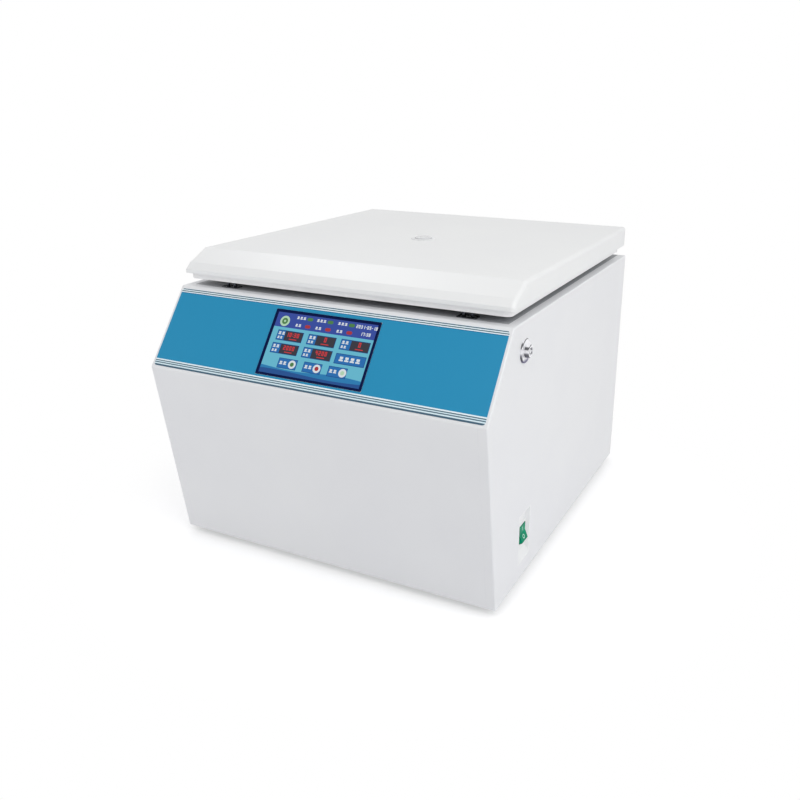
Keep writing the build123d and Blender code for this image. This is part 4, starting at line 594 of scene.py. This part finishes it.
# The lit area's edges, in mm from the middle of the glass.
left, right, bottom, top = -77.4, 78.8, -44.4, 43.4
band_foot = 22.2
plate(screen, left, bottom, right, top, "sky", 1)
plate(screen, left, band_foot, right, top, "band", 2)
crest = [(right - 156.2 * i / 24, -34.6 + 1.8 * sin(i / 24 * 2.2 * pi)) for i in range(25)]
tile(screen, [(left, bottom), (right, bottom)] + crest, "wave", 2)
trough = [(right - 156.2 * i / 24, -39.2 - 1.6 * sin(i / 24 * 1.7 * pi)) for i in range(25)]
tile(screen, [(left, bottom), (right, bottom)] + trough, "deep", 3)

# Round emblem place with a plain green spinning-plate sign, captions, lamps, date and time.
dot(screen, -63.0, 31.2, 7.6, "leaf", 3)
dot(screen, -63.0, 31.2, 4.6, "green", 4)
dot(screen, -63.0, 31.2, 1.7, "leaf", 5)
for x in (-24.5, 7.5, 40.5):
    pill(screen, x, 38.0, 2.2, 2.4, "green", 3)
    pill(screen, x - 0.4, 27.4, 2.0, 2.4, "warm", 3)
    word_blocks(screen, x - 21.0, 36.4, 3, 3.8, "white", 3)
    word_blocks(screen, x - 20.0, 25.6, 2, 3.8, "white", 3)
digits(screen, "2031-05-18", 47.6, 35.6, 4.6, "white", 3)
digits(screen, "17:38", 57.0, 26.0, 4.6, "white", 3)

# Five readouts: a caption tile beside a dark window with red digits.
readouts = [
    (-68.5, 3.3, 41.5, "10:30", 12.5), (-19.0, 3.3, 43.5, "0", 13.2), (32.0, 3.3, 44.0, "0", 15.5),
    (-70.5, -15.5, 43.0, "2000", 14.0), (-20.0, -15.5, 45.0, "4200", 14.0),
]
for x, y, width, value, split in readouts:
    plate(screen, x, y, x + width, y + 14.8, "frame", 2)
    plate(screen, x + 0.8, y + 0.8, x + split, y + 14.0, "tile", 3)
    plate(screen, x + split + 0.4, y + 0.8, x + width - 0.8, y + 14.0, "dark", 3)
    word_blocks(screen, x + 2.0, y + 8.2, 2, 4.2, "white", 4)
    word_blocks(screen, x + 2.0, y + 2.4, 2, 3.4, "white", 4)
    tall = 6.2 if len(value) > 1 else 6.8
    digits(screen, value, x + (width + split) / 2 - len(value) * 0.38 * tall, y + 6.2, tall, "red", 4)
    plate(screen, x + (width + split) / 2 - 6.0, y + 2.6, x + (width + split) / 2 + 6.0, y + 3.8, "red", 4)

# A wide key, and three keys that each carry a round sign.
plate(screen, 31.0, -16.4, 76.5, -2.0, "frame", 2)
plate(screen, 31.8, -15.6, 75.7, -2.8, "tile", 3)
word_blocks(screen, 37.5, -12.2, 4, 6.2, "white", 4)
keys = [(-52.0, 30.0, -29.5, "green"), (-12.0, 28.5, 9.4, "warm"), (26.5, 28.5, 48.8, "leaf")]
for x, width, sign_x, sign in keys:
    plate(screen, x, -35.0, x + width, -20.6, "frame", 4)
    plate(screen, x + 0.7, -34.3, x + width - 0.7, -21.3, "tile", 5)
    word_blocks(screen, x + 2.4, -29.6, 2, 4.6, "white", 6)
    dot(screen, sign_x, -27.8, 5.8, "white", 6)
    dot(screen, sign_x, -27.8, 3.0, sign, 7)
lay_sheet("display_picture", screen, "housing")

# Behind the glass: a stamped display can, and green boards with their parts.
rolled_steel = finish(
    "rolled_steel", tone(196, 198, 201), tone(182, 185, 189), tone(226, 227, 228), cloud=9.0, grain=260.0,
    stretch=(1.0, 1.0, 9.0), bump=0.08, rough=(0.22, 0.34), edge=0.0008, Metallic=1.0,
)
dress(rolled_steel, "lcd_module", "chamber_bowl", "plate_carrier_1", "plate_carrier_2",
      "plate_carrier_3", "plate_carrier_4")
solder_mask = finish(
    "solder_mask", tone(26, 96, 58), tone(20, 78, 48), tone(196, 170, 96), cloud=160.0, grain=700.0,
    stretch=(1.0, 5.0, 1.0), bump=0.3, rough=(0.3, 0.5), edge=0.0005,
)
dress(solder_mask, "control_board", "drive_board")

# ------------------------------------------------------------------ mains switch
# A snap-in rocker switch in a shallow pressed pocket: pale moulded frame, translucent green
# rocker, with the bar and the ring moulded in white.
moulded_white = finish(
    "moulded_white", tone(242, 242, 243), tone(236, 237, 238), tone(244, 244, 244), cloud=30.0,
    grain=1300.0, bump=0.12, rough=(0.32, 0.42), edge=0.0006,
)
dress(moulded_white, "switch_housing", "lid_liner")
# Painted shade: the dark green edge colour, over a wide edge radius, darkens the rocker's rim.
green_lens = finish(
    "green_lens", tone(0, 152, 112), tone(0, 128, 94), tone(0, 56, 44), cloud=70.0, grain=1200.0,
    bump=0.05, rough=(0.34, 0.44), edge=0.003, Specular_IOR_Level=0.06,
)
dress(green_lens, "power_rocker")

# The bar on the upper facet and the ring on the lower one are moulded flush in a pale tint.
rocker_ink = finish(
    "rocker_ink", tone(184, 228, 210), tone(174, 222, 202), tone(184, 228, 210), cloud=60.0,
    grain=1500.0, bump=0.05, rough=(0.35, 0.45), edge=0.0002,
)
rocker_low, rocker_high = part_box("power_rocker")
rocker_middle = (rocker_low.z + rocker_high.z) / 2
rocker_faces = nodes["power_rocker"].data.polygons
# Faces of one facet point the same way and lie in one plane, to within these.
same_way, same_plane = 0.9999, 1e-5
for sign, upper in (("bar", True), ("ring", False)):
    pressed_faces = [face for face in rocker_faces
                     if face.normal.x > 0.5 and (face.center.z > rocker_middle) == upper]
    facet = max(pressed_faces, key=lambda face: face.area)
    twins = [face for face in rocker_faces
             if face.normal.dot(facet.normal) > same_way
             and abs((face.center - facet.center).dot(facet.normal)) < same_plane]
    middle = sum((face.center * face.area for face in twins), Vector()) / sum(face.area for face in twins)
    across = Vector((0.0, 1.0, 0.0))
    marks = printed_sheet(middle, across, facet.normal.cross(across), {"ink": rocker_ink}, 0.00006)
    if sign == "bar":
        plate(marks, -0.7, -2.9, 0.7, 2.9, "ink", 1)
    else:
        steps = [2 * pi * i / 12 for i in range(13)]
        for start, stop in zip(steps, steps[1:]):
            tile(marks, [(2.0 * cos(start), 2.0 * sin(start)), (3.2 * cos(start), 3.2 * sin(start)),
                         (3.2 * cos(stop), 3.2 * sin(stop)), (2.0 * cos(stop), 2.0 * sin(stop))], "ink", 1)
    lay_sheet("rocker_" + sign, marks, "rocker")

# ------------------------------------------------------------------ key lock
# A chromed cam lock: stepped flange, barrel and a turning plug with a key slot.
# Painted reflection: the dark navy edge colour on the lock's rims stands for mirrored dark things, not
# wear.
chrome_plate = finish(
    "chrome_plate", tone(252, 252, 253), tone(244, 245, 248), tone(92, 92, 104), cloud=110.0,
    grain=800.0, bump=0.04, rough=(0.06, 0.14), edge=0.0004, Metallic=0.3,
)
# Painted reflection: light and dark bands, set by how far each face points up or down,
# stand for what bright plating mirrors as its face turns from lamps to floor.
tree = chrome_plate.node_tree
facing = add_node(tree, "ShaderNodeNewGeometry")
facing_parts = add_node(tree, "ShaderNodeSeparateXYZ")
to_ramp = add_node(tree, "ShaderNodeMapRange", values={"From Min": -1.0, "From Max": 1.0})
painted_reflection_bands = add_node(tree, "ShaderNodeValToRGB")
painted_reflection_steps = [
    (-1.0, (76, 74, 112)), (-0.72, (30, 26, 70)), (-0.35, (14, 12, 24)), (-0.12, (150, 151, 160)),
    (0.0, (246, 246, 248)), (0.3, (246, 246, 248)), (0.44, (50, 51, 58)), (0.7, (40, 41, 48)),
    (0.84, (252, 252, 252)), (1.0, (250, 250, 250)),
]
fill_ramp(painted_reflection_bands, [((height + 1) / 2, tone(*shade)) for height, shade in painted_reflection_steps])
painted_reflection_mix = add_node(tree, "ShaderNodeMix", data_type="RGBA", blend_type="MULTIPLY", values={"Factor": 0.9})
join(
    tree,
    (facing.outputs["Normal"], facing_parts.inputs[0]),
    (facing_parts.outputs["Z"], to_ramp.inputs["Value"]),
    (to_ramp.outputs[0], painted_reflection_bands.inputs["Fac"]),
    (tree.nodes["drifted"].outputs["Result"], painted_reflection_mix.inputs["A"]),
    (painted_reflection_bands.outputs["Color"], painted_reflection_mix.inputs["B"]),
)
# Painted reflection: a navy tint on the lower rim stands for the dark things that bright
# plating mirrors there.
lock_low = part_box("lock_body")[0]
lock_place = add_node(tree, "ShaderNodeTexCoord")
lock_parts = add_node(tree, "ShaderNodeSeparateXYZ")
painted_floor_reflection_share = add_node(tree, "ShaderNodeMapRange",
                     values={"From Min": lock_low.z + 7.0 * MM, "From Max": lock_low.z + 3.0 * MM})
painted_floor_reflection = add_node(tree, "ShaderNodeMix", data_type="RGBA")
painted_floor_reflection.inputs["B"].default_value = tone(58, 52, 108)
join(
    tree,
    (lock_place.outputs["Object"], lock_parts.inputs[0]),
    (lock_parts.outputs["Z"], painted_floor_reflection_share.inputs["Value"]),
    (painted_floor_reflection_share.outputs[0], painted_floor_reflection.inputs["Factor"]),
    (painted_reflection_mix.outputs["Result"], painted_floor_reflection.inputs["A"]),
    (painted_floor_reflection.outputs["Result"], tree.nodes["wear_and_painted_light_mix"].inputs["A"]),
)
dress(chrome_plate, "lock_body", "lock_plug")
# The strikers are bent from blued spring rod, and the slots that take them have dark frames.
blued_steel = finish(
    "blued_steel", tone(92, 94, 100), tone(74, 77, 84), tone(150, 152, 156), cloud=60.0,
    grain=700.0, bump=0.06, rough=(0.2, 0.32), edge=0.0006, Metallic=1.0,
)
dress(blued_steel, "lid_strikers", "latch_bezels")

# ------------------------------------------------------------------ chamber and motor
# A spun stainless bowl with a grey silicone seal on its flange; the motor under it is a dark
# painted casting on rubber mounts.
grey_silicone = finish(
    "grey_silicone", tone(128, 130, 133), tone(120, 122, 126), tone(150, 152, 154), cloud=30.0,
    grain=1600.0, bump=0.2, rough=(0.5, 0.62), edge=0.0008,
)
dress(grey_silicone, "chamber_seal")
cast_paint = finish(
    "cast_paint", tone(74, 76, 80), tone(64, 66, 70), tone(120, 121, 122), cloud=18.0, grain=380.0,
    bump=0.5, depth=0.0002, rough=(0.45, 0.62), edge=0.0012,
)
dress(cast_paint, "motor_body")
moulded_black = finish(
    "moulded_black", tone(40, 41, 44), tone(48, 49, 52), tone(84, 85, 88), cloud=30.0, grain=1300.0,
    bump=0.25, rough=(0.42, 0.56), edge=0.0006,
)
dress(moulded_black, "imbalance_switch", "latch_solenoid", "power_inlet",
      "rear_fittings", "fan_frame", "fan_impeller")

# ------------------------------------------------------------------ rotor and carriers
# A milled and anodised yoke on a ground steel spindle, with four stainless plate carriers.
anodised = finish(
    "anodised", tone(200, 202, 205), tone(190, 193, 197), tone(226, 227, 229), cloud=16.0, grain=520.0,
    stretch=(8.0, 1.0, 1.0), bump=0.08, rough=(0.28, 0.4), edge=0.0008, Metallic=1.0,
)
dress(anodised, "rotor_yoke", "rotor_nut", "lid_armour", "heat_sink")
ground_steel = finish(
    "ground_steel", tone(176, 177, 180), tone(164, 166, 169), tone(210, 210, 212), cloud=20.0,
    grain=600.0, stretch=(1.0, 1.0, 10.0), bump=0.06, rough=(0.18, 0.28), edge=0.0005, Metallic=1.0,
)
dress(ground_steel, "motor_spindle", "rotor_trunnions")

# Each arm carries the plain number of its bay, filled with dark enamel.
arm_ink = finish(
    "arm_ink", tone(38, 40, 44), tone(46, 48, 52), tone(60, 62, 66), cloud=60.0, grain=1400.0,
    bump=0.1, rough=(0.4, 0.52), edge=0.0002,
)
arm_top = 343.0 * MM
number_out = 74.0 * MM
yoke_low, yoke_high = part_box("rotor_yoke")
yoke_middle = (yoke_low + yoke_high) / 2
for number in range(4):
    turn = pi / 4 + number * pi / 2
    outward = Vector((cos(turn), sin(turn), 0.0))
    across = Vector((0.0, 0.0, 1.0)).cross(outward) * -1
    arm_face = Vector((yoke_middle.x, yoke_middle.y, arm_top)) + outward * number_out
    number_sheet = printed_sheet(arm_face, across, outward, {"ink": arm_ink}, 0.00005)
    digits(number_sheet, str(number + 1), -2.4, -4.5, 9.0, "ink", 1)
    lay_sheet(f"arm_number_{number + 1}", number_sheet, "rotor")

# ------------------------------------------------------------------ lid
# A pressed sheet cover in white enamel, smoother than the cabinet, with a grey moulded ring
# round a small clear window over the spindle.
lid_enamel = finish(
    "lid_enamel", tone(236, 237, 237), tone(233, 234, 235), tone(220, 221, 223), cloud=4.0, grain=480.0,
    bump=0.1, depth=0.00003, rough=(0.3, 0.38), edge=0.0006, Specular_IOR_Level=0.5,
)
dress(lid_enamel, "lid_cover")
ring_plastic = finish(
    "ring_plastic", tone(236, 237, 238), tone(232, 233, 234), tone(196, 197, 199), cloud=40.0,
    grain=1500.0, bump=0.15, rough=(0.4, 0.5), edge=0.0006,
)
dress(ring_plastic, "port_ring")
clear_window = finish(
    "clear_window", tone(232, 233, 235), tone(226, 228, 230), tone(226, 226, 227), cloud=30.0,
    grain=900.0, bump=0.02, rough=(0.14, 0.22), edge=0.0004, Transmission_Weight=0.15, IOR=1.49,
)
dress(clear_window, "port_window")

# ------------------------------------------------------------------ fan guard
# A chromed wire guard of five rings on four spokes, bent from rod and spot welded, stands on
# the rear panel over the fan and is held at the eye of each spoke.
wire_guard, grow_in, grow_out = growing_tree("wire_guard", [
    ("Ring Count", "NodeSocketInt", 5), ("Ring Step", "NodeSocketFloat", 0.0108),
    ("Wire Radius", "NodeSocketFloat", 0.0008), ("Spoke Reach", "NodeSocketFloat", 0.072),
    ("Eye Radius", "NodeSocketFloat", 0.0038), ("Finish", "NodeSocketMaterial", None),
])
ring_points = add_node(wire_guard, "GeometryNodePoints")
ring_number = add_node(wire_guard, "GeometryNodeInputIndex")
next_number = add_node(wire_guard, "ShaderNodeMath", operation="ADD")
next_number.inputs[1].default_value = 1.0
ring_radius = add_node(wire_guard, "ShaderNodeMath", operation="MULTIPLY")
unit_ring = add_node(wire_guard, "GeometryNodeCurvePrimitiveCircle",
                     values={"Resolution": 72, "Radius": 1.0})
rings = add_node(wire_guard, "GeometryNodeInstanceOnPoints")
spoke_points = add_node(wire_guard, "GeometryNodePoints", values={"Count": 4})
spoke_end = add_node(wire_guard, "ShaderNodeCombineXYZ")
spoke = add_node(wire_guard, "GeometryNodeCurvePrimitiveLine")
eye = add_node(wire_guard, "GeometryNodeCurvePrimitiveCircle", values={"Resolution": 24})
eye_out = add_node(wire_guard, "ShaderNodeMath", operation="ADD")
eye_place = add_node(wire_guard, "ShaderNodeCombineXYZ")
placed_eye = add_node(wire_guard, "GeometryNodeTransform")
spoke_with_eye = add_node(wire_guard, "GeometryNodeJoinGeometry")
spoke_turn = add_node(wire_guard, "ShaderNodeMath", operation="MULTIPLY_ADD")
spoke_turn.inputs[1].default_value = pi / 2
spoke_turn.inputs[2].default_value = pi / 4
spoke_euler = add_node(wire_guard, "ShaderNodeCombineXYZ")
spoke_rotation = add_node(wire_guard, "FunctionNodeEulerToRotation")
spokes = add_node(wire_guard, "GeometryNodeInstanceOnPoints")
all_lines = add_node(wire_guard, "GeometryNodeJoinGeometry")
real_lines = add_node(wire_guard, "GeometryNodeRealizeInstances")
wire_section = add_node(wire_guard, "GeometryNodeCurvePrimitiveCircle", values={"Resolution": 10})
wires = add_node(wire_guard, "GeometryNodeCurveToMesh", values={"Fill Caps": True})
stood_up = add_node(wire_guard, "GeometryNodeTransform", values={"Rotation": (pi / 2, 0.0, 0.0)})
set_down = add_node(wire_guard, "GeometryNodeInstanceOnPoints")
real = add_node(wire_guard, "GeometryNodeRealizeInstances")
coated = add_node(wire_guard, "GeometryNodeSetMaterial")
join(
    wire_guard,
    (grow_in.outputs["Ring Count"], ring_points.inputs["Count"]),
    (ring_number.outputs[0], next_number.inputs[0]),
    (next_number.outputs[0], ring_radius.inputs[0]),
    (grow_in.outputs["Ring Step"], ring_radius.inputs[1]),
    (ring_points.outputs[0], rings.inputs["Points"]),
    (unit_ring.outputs[0], rings.inputs["Instance"]),
    (ring_radius.outputs[0], rings.inputs["Scale"]),
    (grow_in.outputs["Spoke Reach"], spoke_end.inputs["X"]),
    (spoke_end.outputs[0], spoke.inputs["End"]),
    (grow_in.outputs["Eye Radius"], eye.inputs["Radius"]),
    (grow_in.outputs["Spoke Reach"], eye_out.inputs[0]),
    (grow_in.outputs["Eye Radius"], eye_out.inputs[1]),
    (eye_out.outputs[0], eye_place.inputs["X"]),
    (eye.outputs[0], placed_eye.inputs[0]),
    (eye_place.outputs[0], placed_eye.inputs["Translation"]),
    (spoke.outputs[0], spoke_with_eye.inputs[0]),
    (placed_eye.outputs[0], spoke_with_eye.inputs[0]),
    (spoke_points.outputs[0], spokes.inputs["Points"]),
    (spoke_with_eye.outputs[0], spokes.inputs["Instance"]),
    (ring_number.outputs[0], spoke_turn.inputs[0]),
    (spoke_turn.outputs[0], spoke_euler.inputs["Z"]),
    (spoke_euler.outputs[0], spoke_rotation.inputs[0]),
    (spoke_rotation.outputs[0], spokes.inputs["Rotation"]),
    (rings.outputs[0], all_lines.inputs[0]),
    (spokes.outputs[0], all_lines.inputs[0]),
    (all_lines.outputs[0], real_lines.inputs[0]),
    (grow_in.outputs["Wire Radius"], wire_section.inputs["Radius"]),
    (real_lines.outputs[0], wires.inputs["Curve"]),
    (wire_section.outputs[0], wires.inputs["Profile Curve"]),
    (wires.outputs[0], stood_up.inputs[0]),
    (grow_in.outputs["Geometry"], set_down.inputs["Points"]),
    (stood_up.outputs[0], set_down.inputs["Instance"]),
    (set_down.outputs[0], real.inputs[0]),
    (real.outputs[0], coated.inputs[0]),
    (grow_in.outputs["Finish"], coated.inputs["Material"]),
    (coated.outputs[0], grow_out.inputs[0]),
)
guard_low, guard_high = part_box("fan_guard")
guard_middle = (guard_low + guard_high) / 2
guard_eye = 3.4 * MM
guard_wire = (guard_high.y - guard_low.y) / 2
guard_reach = ((guard_high.x - guard_low.x) / 2 - guard_eye - guard_wire) * 2 ** 0.5 - guard_eye
wire_guard_mesh = grow(wire_guard, [tuple(guard_middle)], Spoke_Reach=guard_reach, Eye_Radius=guard_eye,
                       Wire_Radius=guard_wire, Finish=zinc_plate)
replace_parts(stand("fan_wire_guard", wire_guard_mesh, "housing"), "fan_guard")

# ------------------------------------------------------------------ studio
# A pale floor that runs out into white, a wide soft lamp over the right shoulder and an even
# sky.  The camera stands where the machine is seen from its front right, a little above.
scene = bpy.context.scene
scene.view_settings.view_transform = "Standard"
sky_level = 0.58
studio_world = bpy.data.worlds.new("studio")
scene.world = studio_world
studio_world.use_nodes = True
tree = studio_world.node_tree
sky = tree.nodes["Background"]
sky.inputs["Color"].default_value = (1.0, 1.0, 1.0, 1.0)
seen = add_node(tree, "ShaderNodeLightPath")
seen_any = add_node(tree, "ShaderNodeMath", operation="MAXIMUM")
strength = add_node(tree, "ShaderNodeMapRange", values={"To Min": sky_level, "To Max": 1.0})
way = add_node(tree, "ShaderNodeTexCoord")
way_parts = add_node(tree, "ShaderNodeSeparateXYZ")
mirrored = add_node(tree, "ShaderNodeMapRange", interpolation_type="SMOOTHSTEP",
                    values={"From Min": -0.3, "From Max": 0.2, "To Min": 0.25, "To Max": 0.9})
by_way = add_node(tree, "ShaderNodeMix", data_type="FLOAT")
join(
    tree,
    (seen.outputs["Is Camera Ray"], seen_any.inputs[0]),
    (seen.outputs["Is Transmission Ray"], seen_any.inputs[1]),
    (seen_any.outputs[0], strength.inputs["Value"]),
    (way.outputs["Generated"], way_parts.inputs[0]),
    (way_parts.outputs["Y"], mirrored.inputs["Value"]),
    (seen.outputs["Is Glossy Ray"], by_way.inputs["Factor"]),
    (strength.outputs[0], by_way.inputs["A"]),
    (mirrored.outputs[0], by_way.inputs["B"]),
    (by_way.outputs["Result"], sky.inputs["Strength"]),
)

# Each lamp: the way that it stands in, its distance, its size and its level on a facing wall.
lamps = {
    "key_softbox": (Vector((0.77, -0.26, 0.57)), 3.0, 2.6, 0.39),
    "brow_softbox": (Vector((0.14, -0.68, 0.72)), 2.2, 1.2, 0.12),
    "front_softbox": (Vector((-0.70, -0.70, 0.12)), 1.4, 0.7, 0.07),
    "rear_softbox": (Vector((-0.56, 0.42, 0.80)), 2.3, 0.8, 0.09),
}
for name, (lamp_way, lamp_distance, lamp_size, lamp_level) in lamps.items():
    lamp_way.normalize()
    lamp_data = bpy.data.lights.new(name, "AREA")
    lamp_data.shape = "SQUARE"
    lamp_data.size = lamp_size
    lamp_data.energy = lamp_level * pi ** 2 * lamp_distance ** 2
    lamp = bpy.data.objects.new(name, lamp_data)
    lamp.location = Vector((0.0, 0.0, 0.25)) + lamp_way * lamp_distance
    lamp.rotation_euler = lamp_way.to_track_quat("Z", "Y").to_euler()
    scene.collection.objects.link(lamp)

floor_reach = 6.0
floor_mesh = bpy.data.meshes.new("studio_floor")
sweep = bmesh.new()
bmesh.ops.create_grid(sweep, x_segments=8, y_segments=8, size=floor_reach)
sweep.to_mesh(floor_mesh)
sweep.free()
stand("studio_floor", floor_mesh)
paper = bpy.data.materials.new("studio_paper")
paper.use_nodes = True
tree = paper.node_tree
matt = tree.nodes["Principled BSDF"]
matt.inputs["Base Color"].default_value = tone(236, 236, 237)
matt.inputs["Roughness"].default_value = 0.9
matt.inputs["Specular IOR Level"].default_value = 0.0
lift = add_node(tree, "ShaderNodeEmission", values={"Strength": 0.25})
white = add_node(tree, "ShaderNodeEmission", values={"Strength": 1.0})
seen = add_node(tree, "ShaderNodeLightPath")
seen_or_glossy = add_node(tree, "ShaderNodeMath", operation="MAXIMUM")
seen_lift = add_node(tree, "ShaderNodeMath", operation="MULTIPLY")
seen_lift.inputs[1].default_value = 0.32
near_paper = add_node(tree, "ShaderNodeAddShader")
place = add_node(tree, "ShaderNodeTexCoord")
distance = add_node(tree, "ShaderNodeVectorMath", operation="LENGTH")
fade = add_node(tree, "ShaderNodeMapRange", interpolation_type="SMOOTHSTEP",
                values={"From Min": 0.34, "From Max": 0.56})
seen_far = add_node(tree, "ShaderNodeMath", operation="MULTIPLY")
spread = add_node(tree, "ShaderNodeMixShader")
join(
    tree,
    (seen.outputs["Is Camera Ray"], seen_or_glossy.inputs[0]),
    (seen.outputs["Is Glossy Ray"], seen_or_glossy.inputs[1]),
    (seen_or_glossy.outputs[0], seen_lift.inputs[0]),
    (seen_lift.outputs[0], lift.inputs["Strength"]),
    (matt.outputs[0], near_paper.inputs[0]),
    (lift.outputs[0], near_paper.inputs[1]),
    (place.outputs["Object"], distance.inputs[0]),
    (distance.outputs["Value"], fade.inputs["Value"]),
    (fade.outputs[0], seen_far.inputs[0]),
    (seen_or_glossy.outputs[0], seen_far.inputs[1]),
    (seen_far.outputs[0], spread.inputs["Fac"]),
    (near_paper.outputs[0], spread.inputs[1]),
    (white.outputs[0], spread.inputs[2]),
    (spread.outputs[0], tree.nodes["Material Output"].inputs["Surface"]),
)
floor_mesh.materials.append(paper)

camera_back = Vector((0.4201, -0.8485, 0.3218)).normalized()
camera_data = bpy.data.cameras.new("studio_camera")
camera_data.sensor_width = 36.0
camera_data.lens = 37.38
camera_data.shift_x = -0.0424
camera_data.shift_y = -0.0304
camera_data.clip_start = 0.05
camera_data.clip_end = 60.0
camera = bpy.data.objects.new("studio_camera", camera_data)
camera.location = (0.6008, -1.1363, 0.6559)
camera.rotation_mode = "QUATERNION"
camera.rotation_quaternion = Quaternion(camera_back, radians(0.216)) @ camera_back.to_track_quat("Z", "Y")
scene.collection.objects.link(camera)
scene.camera = camera
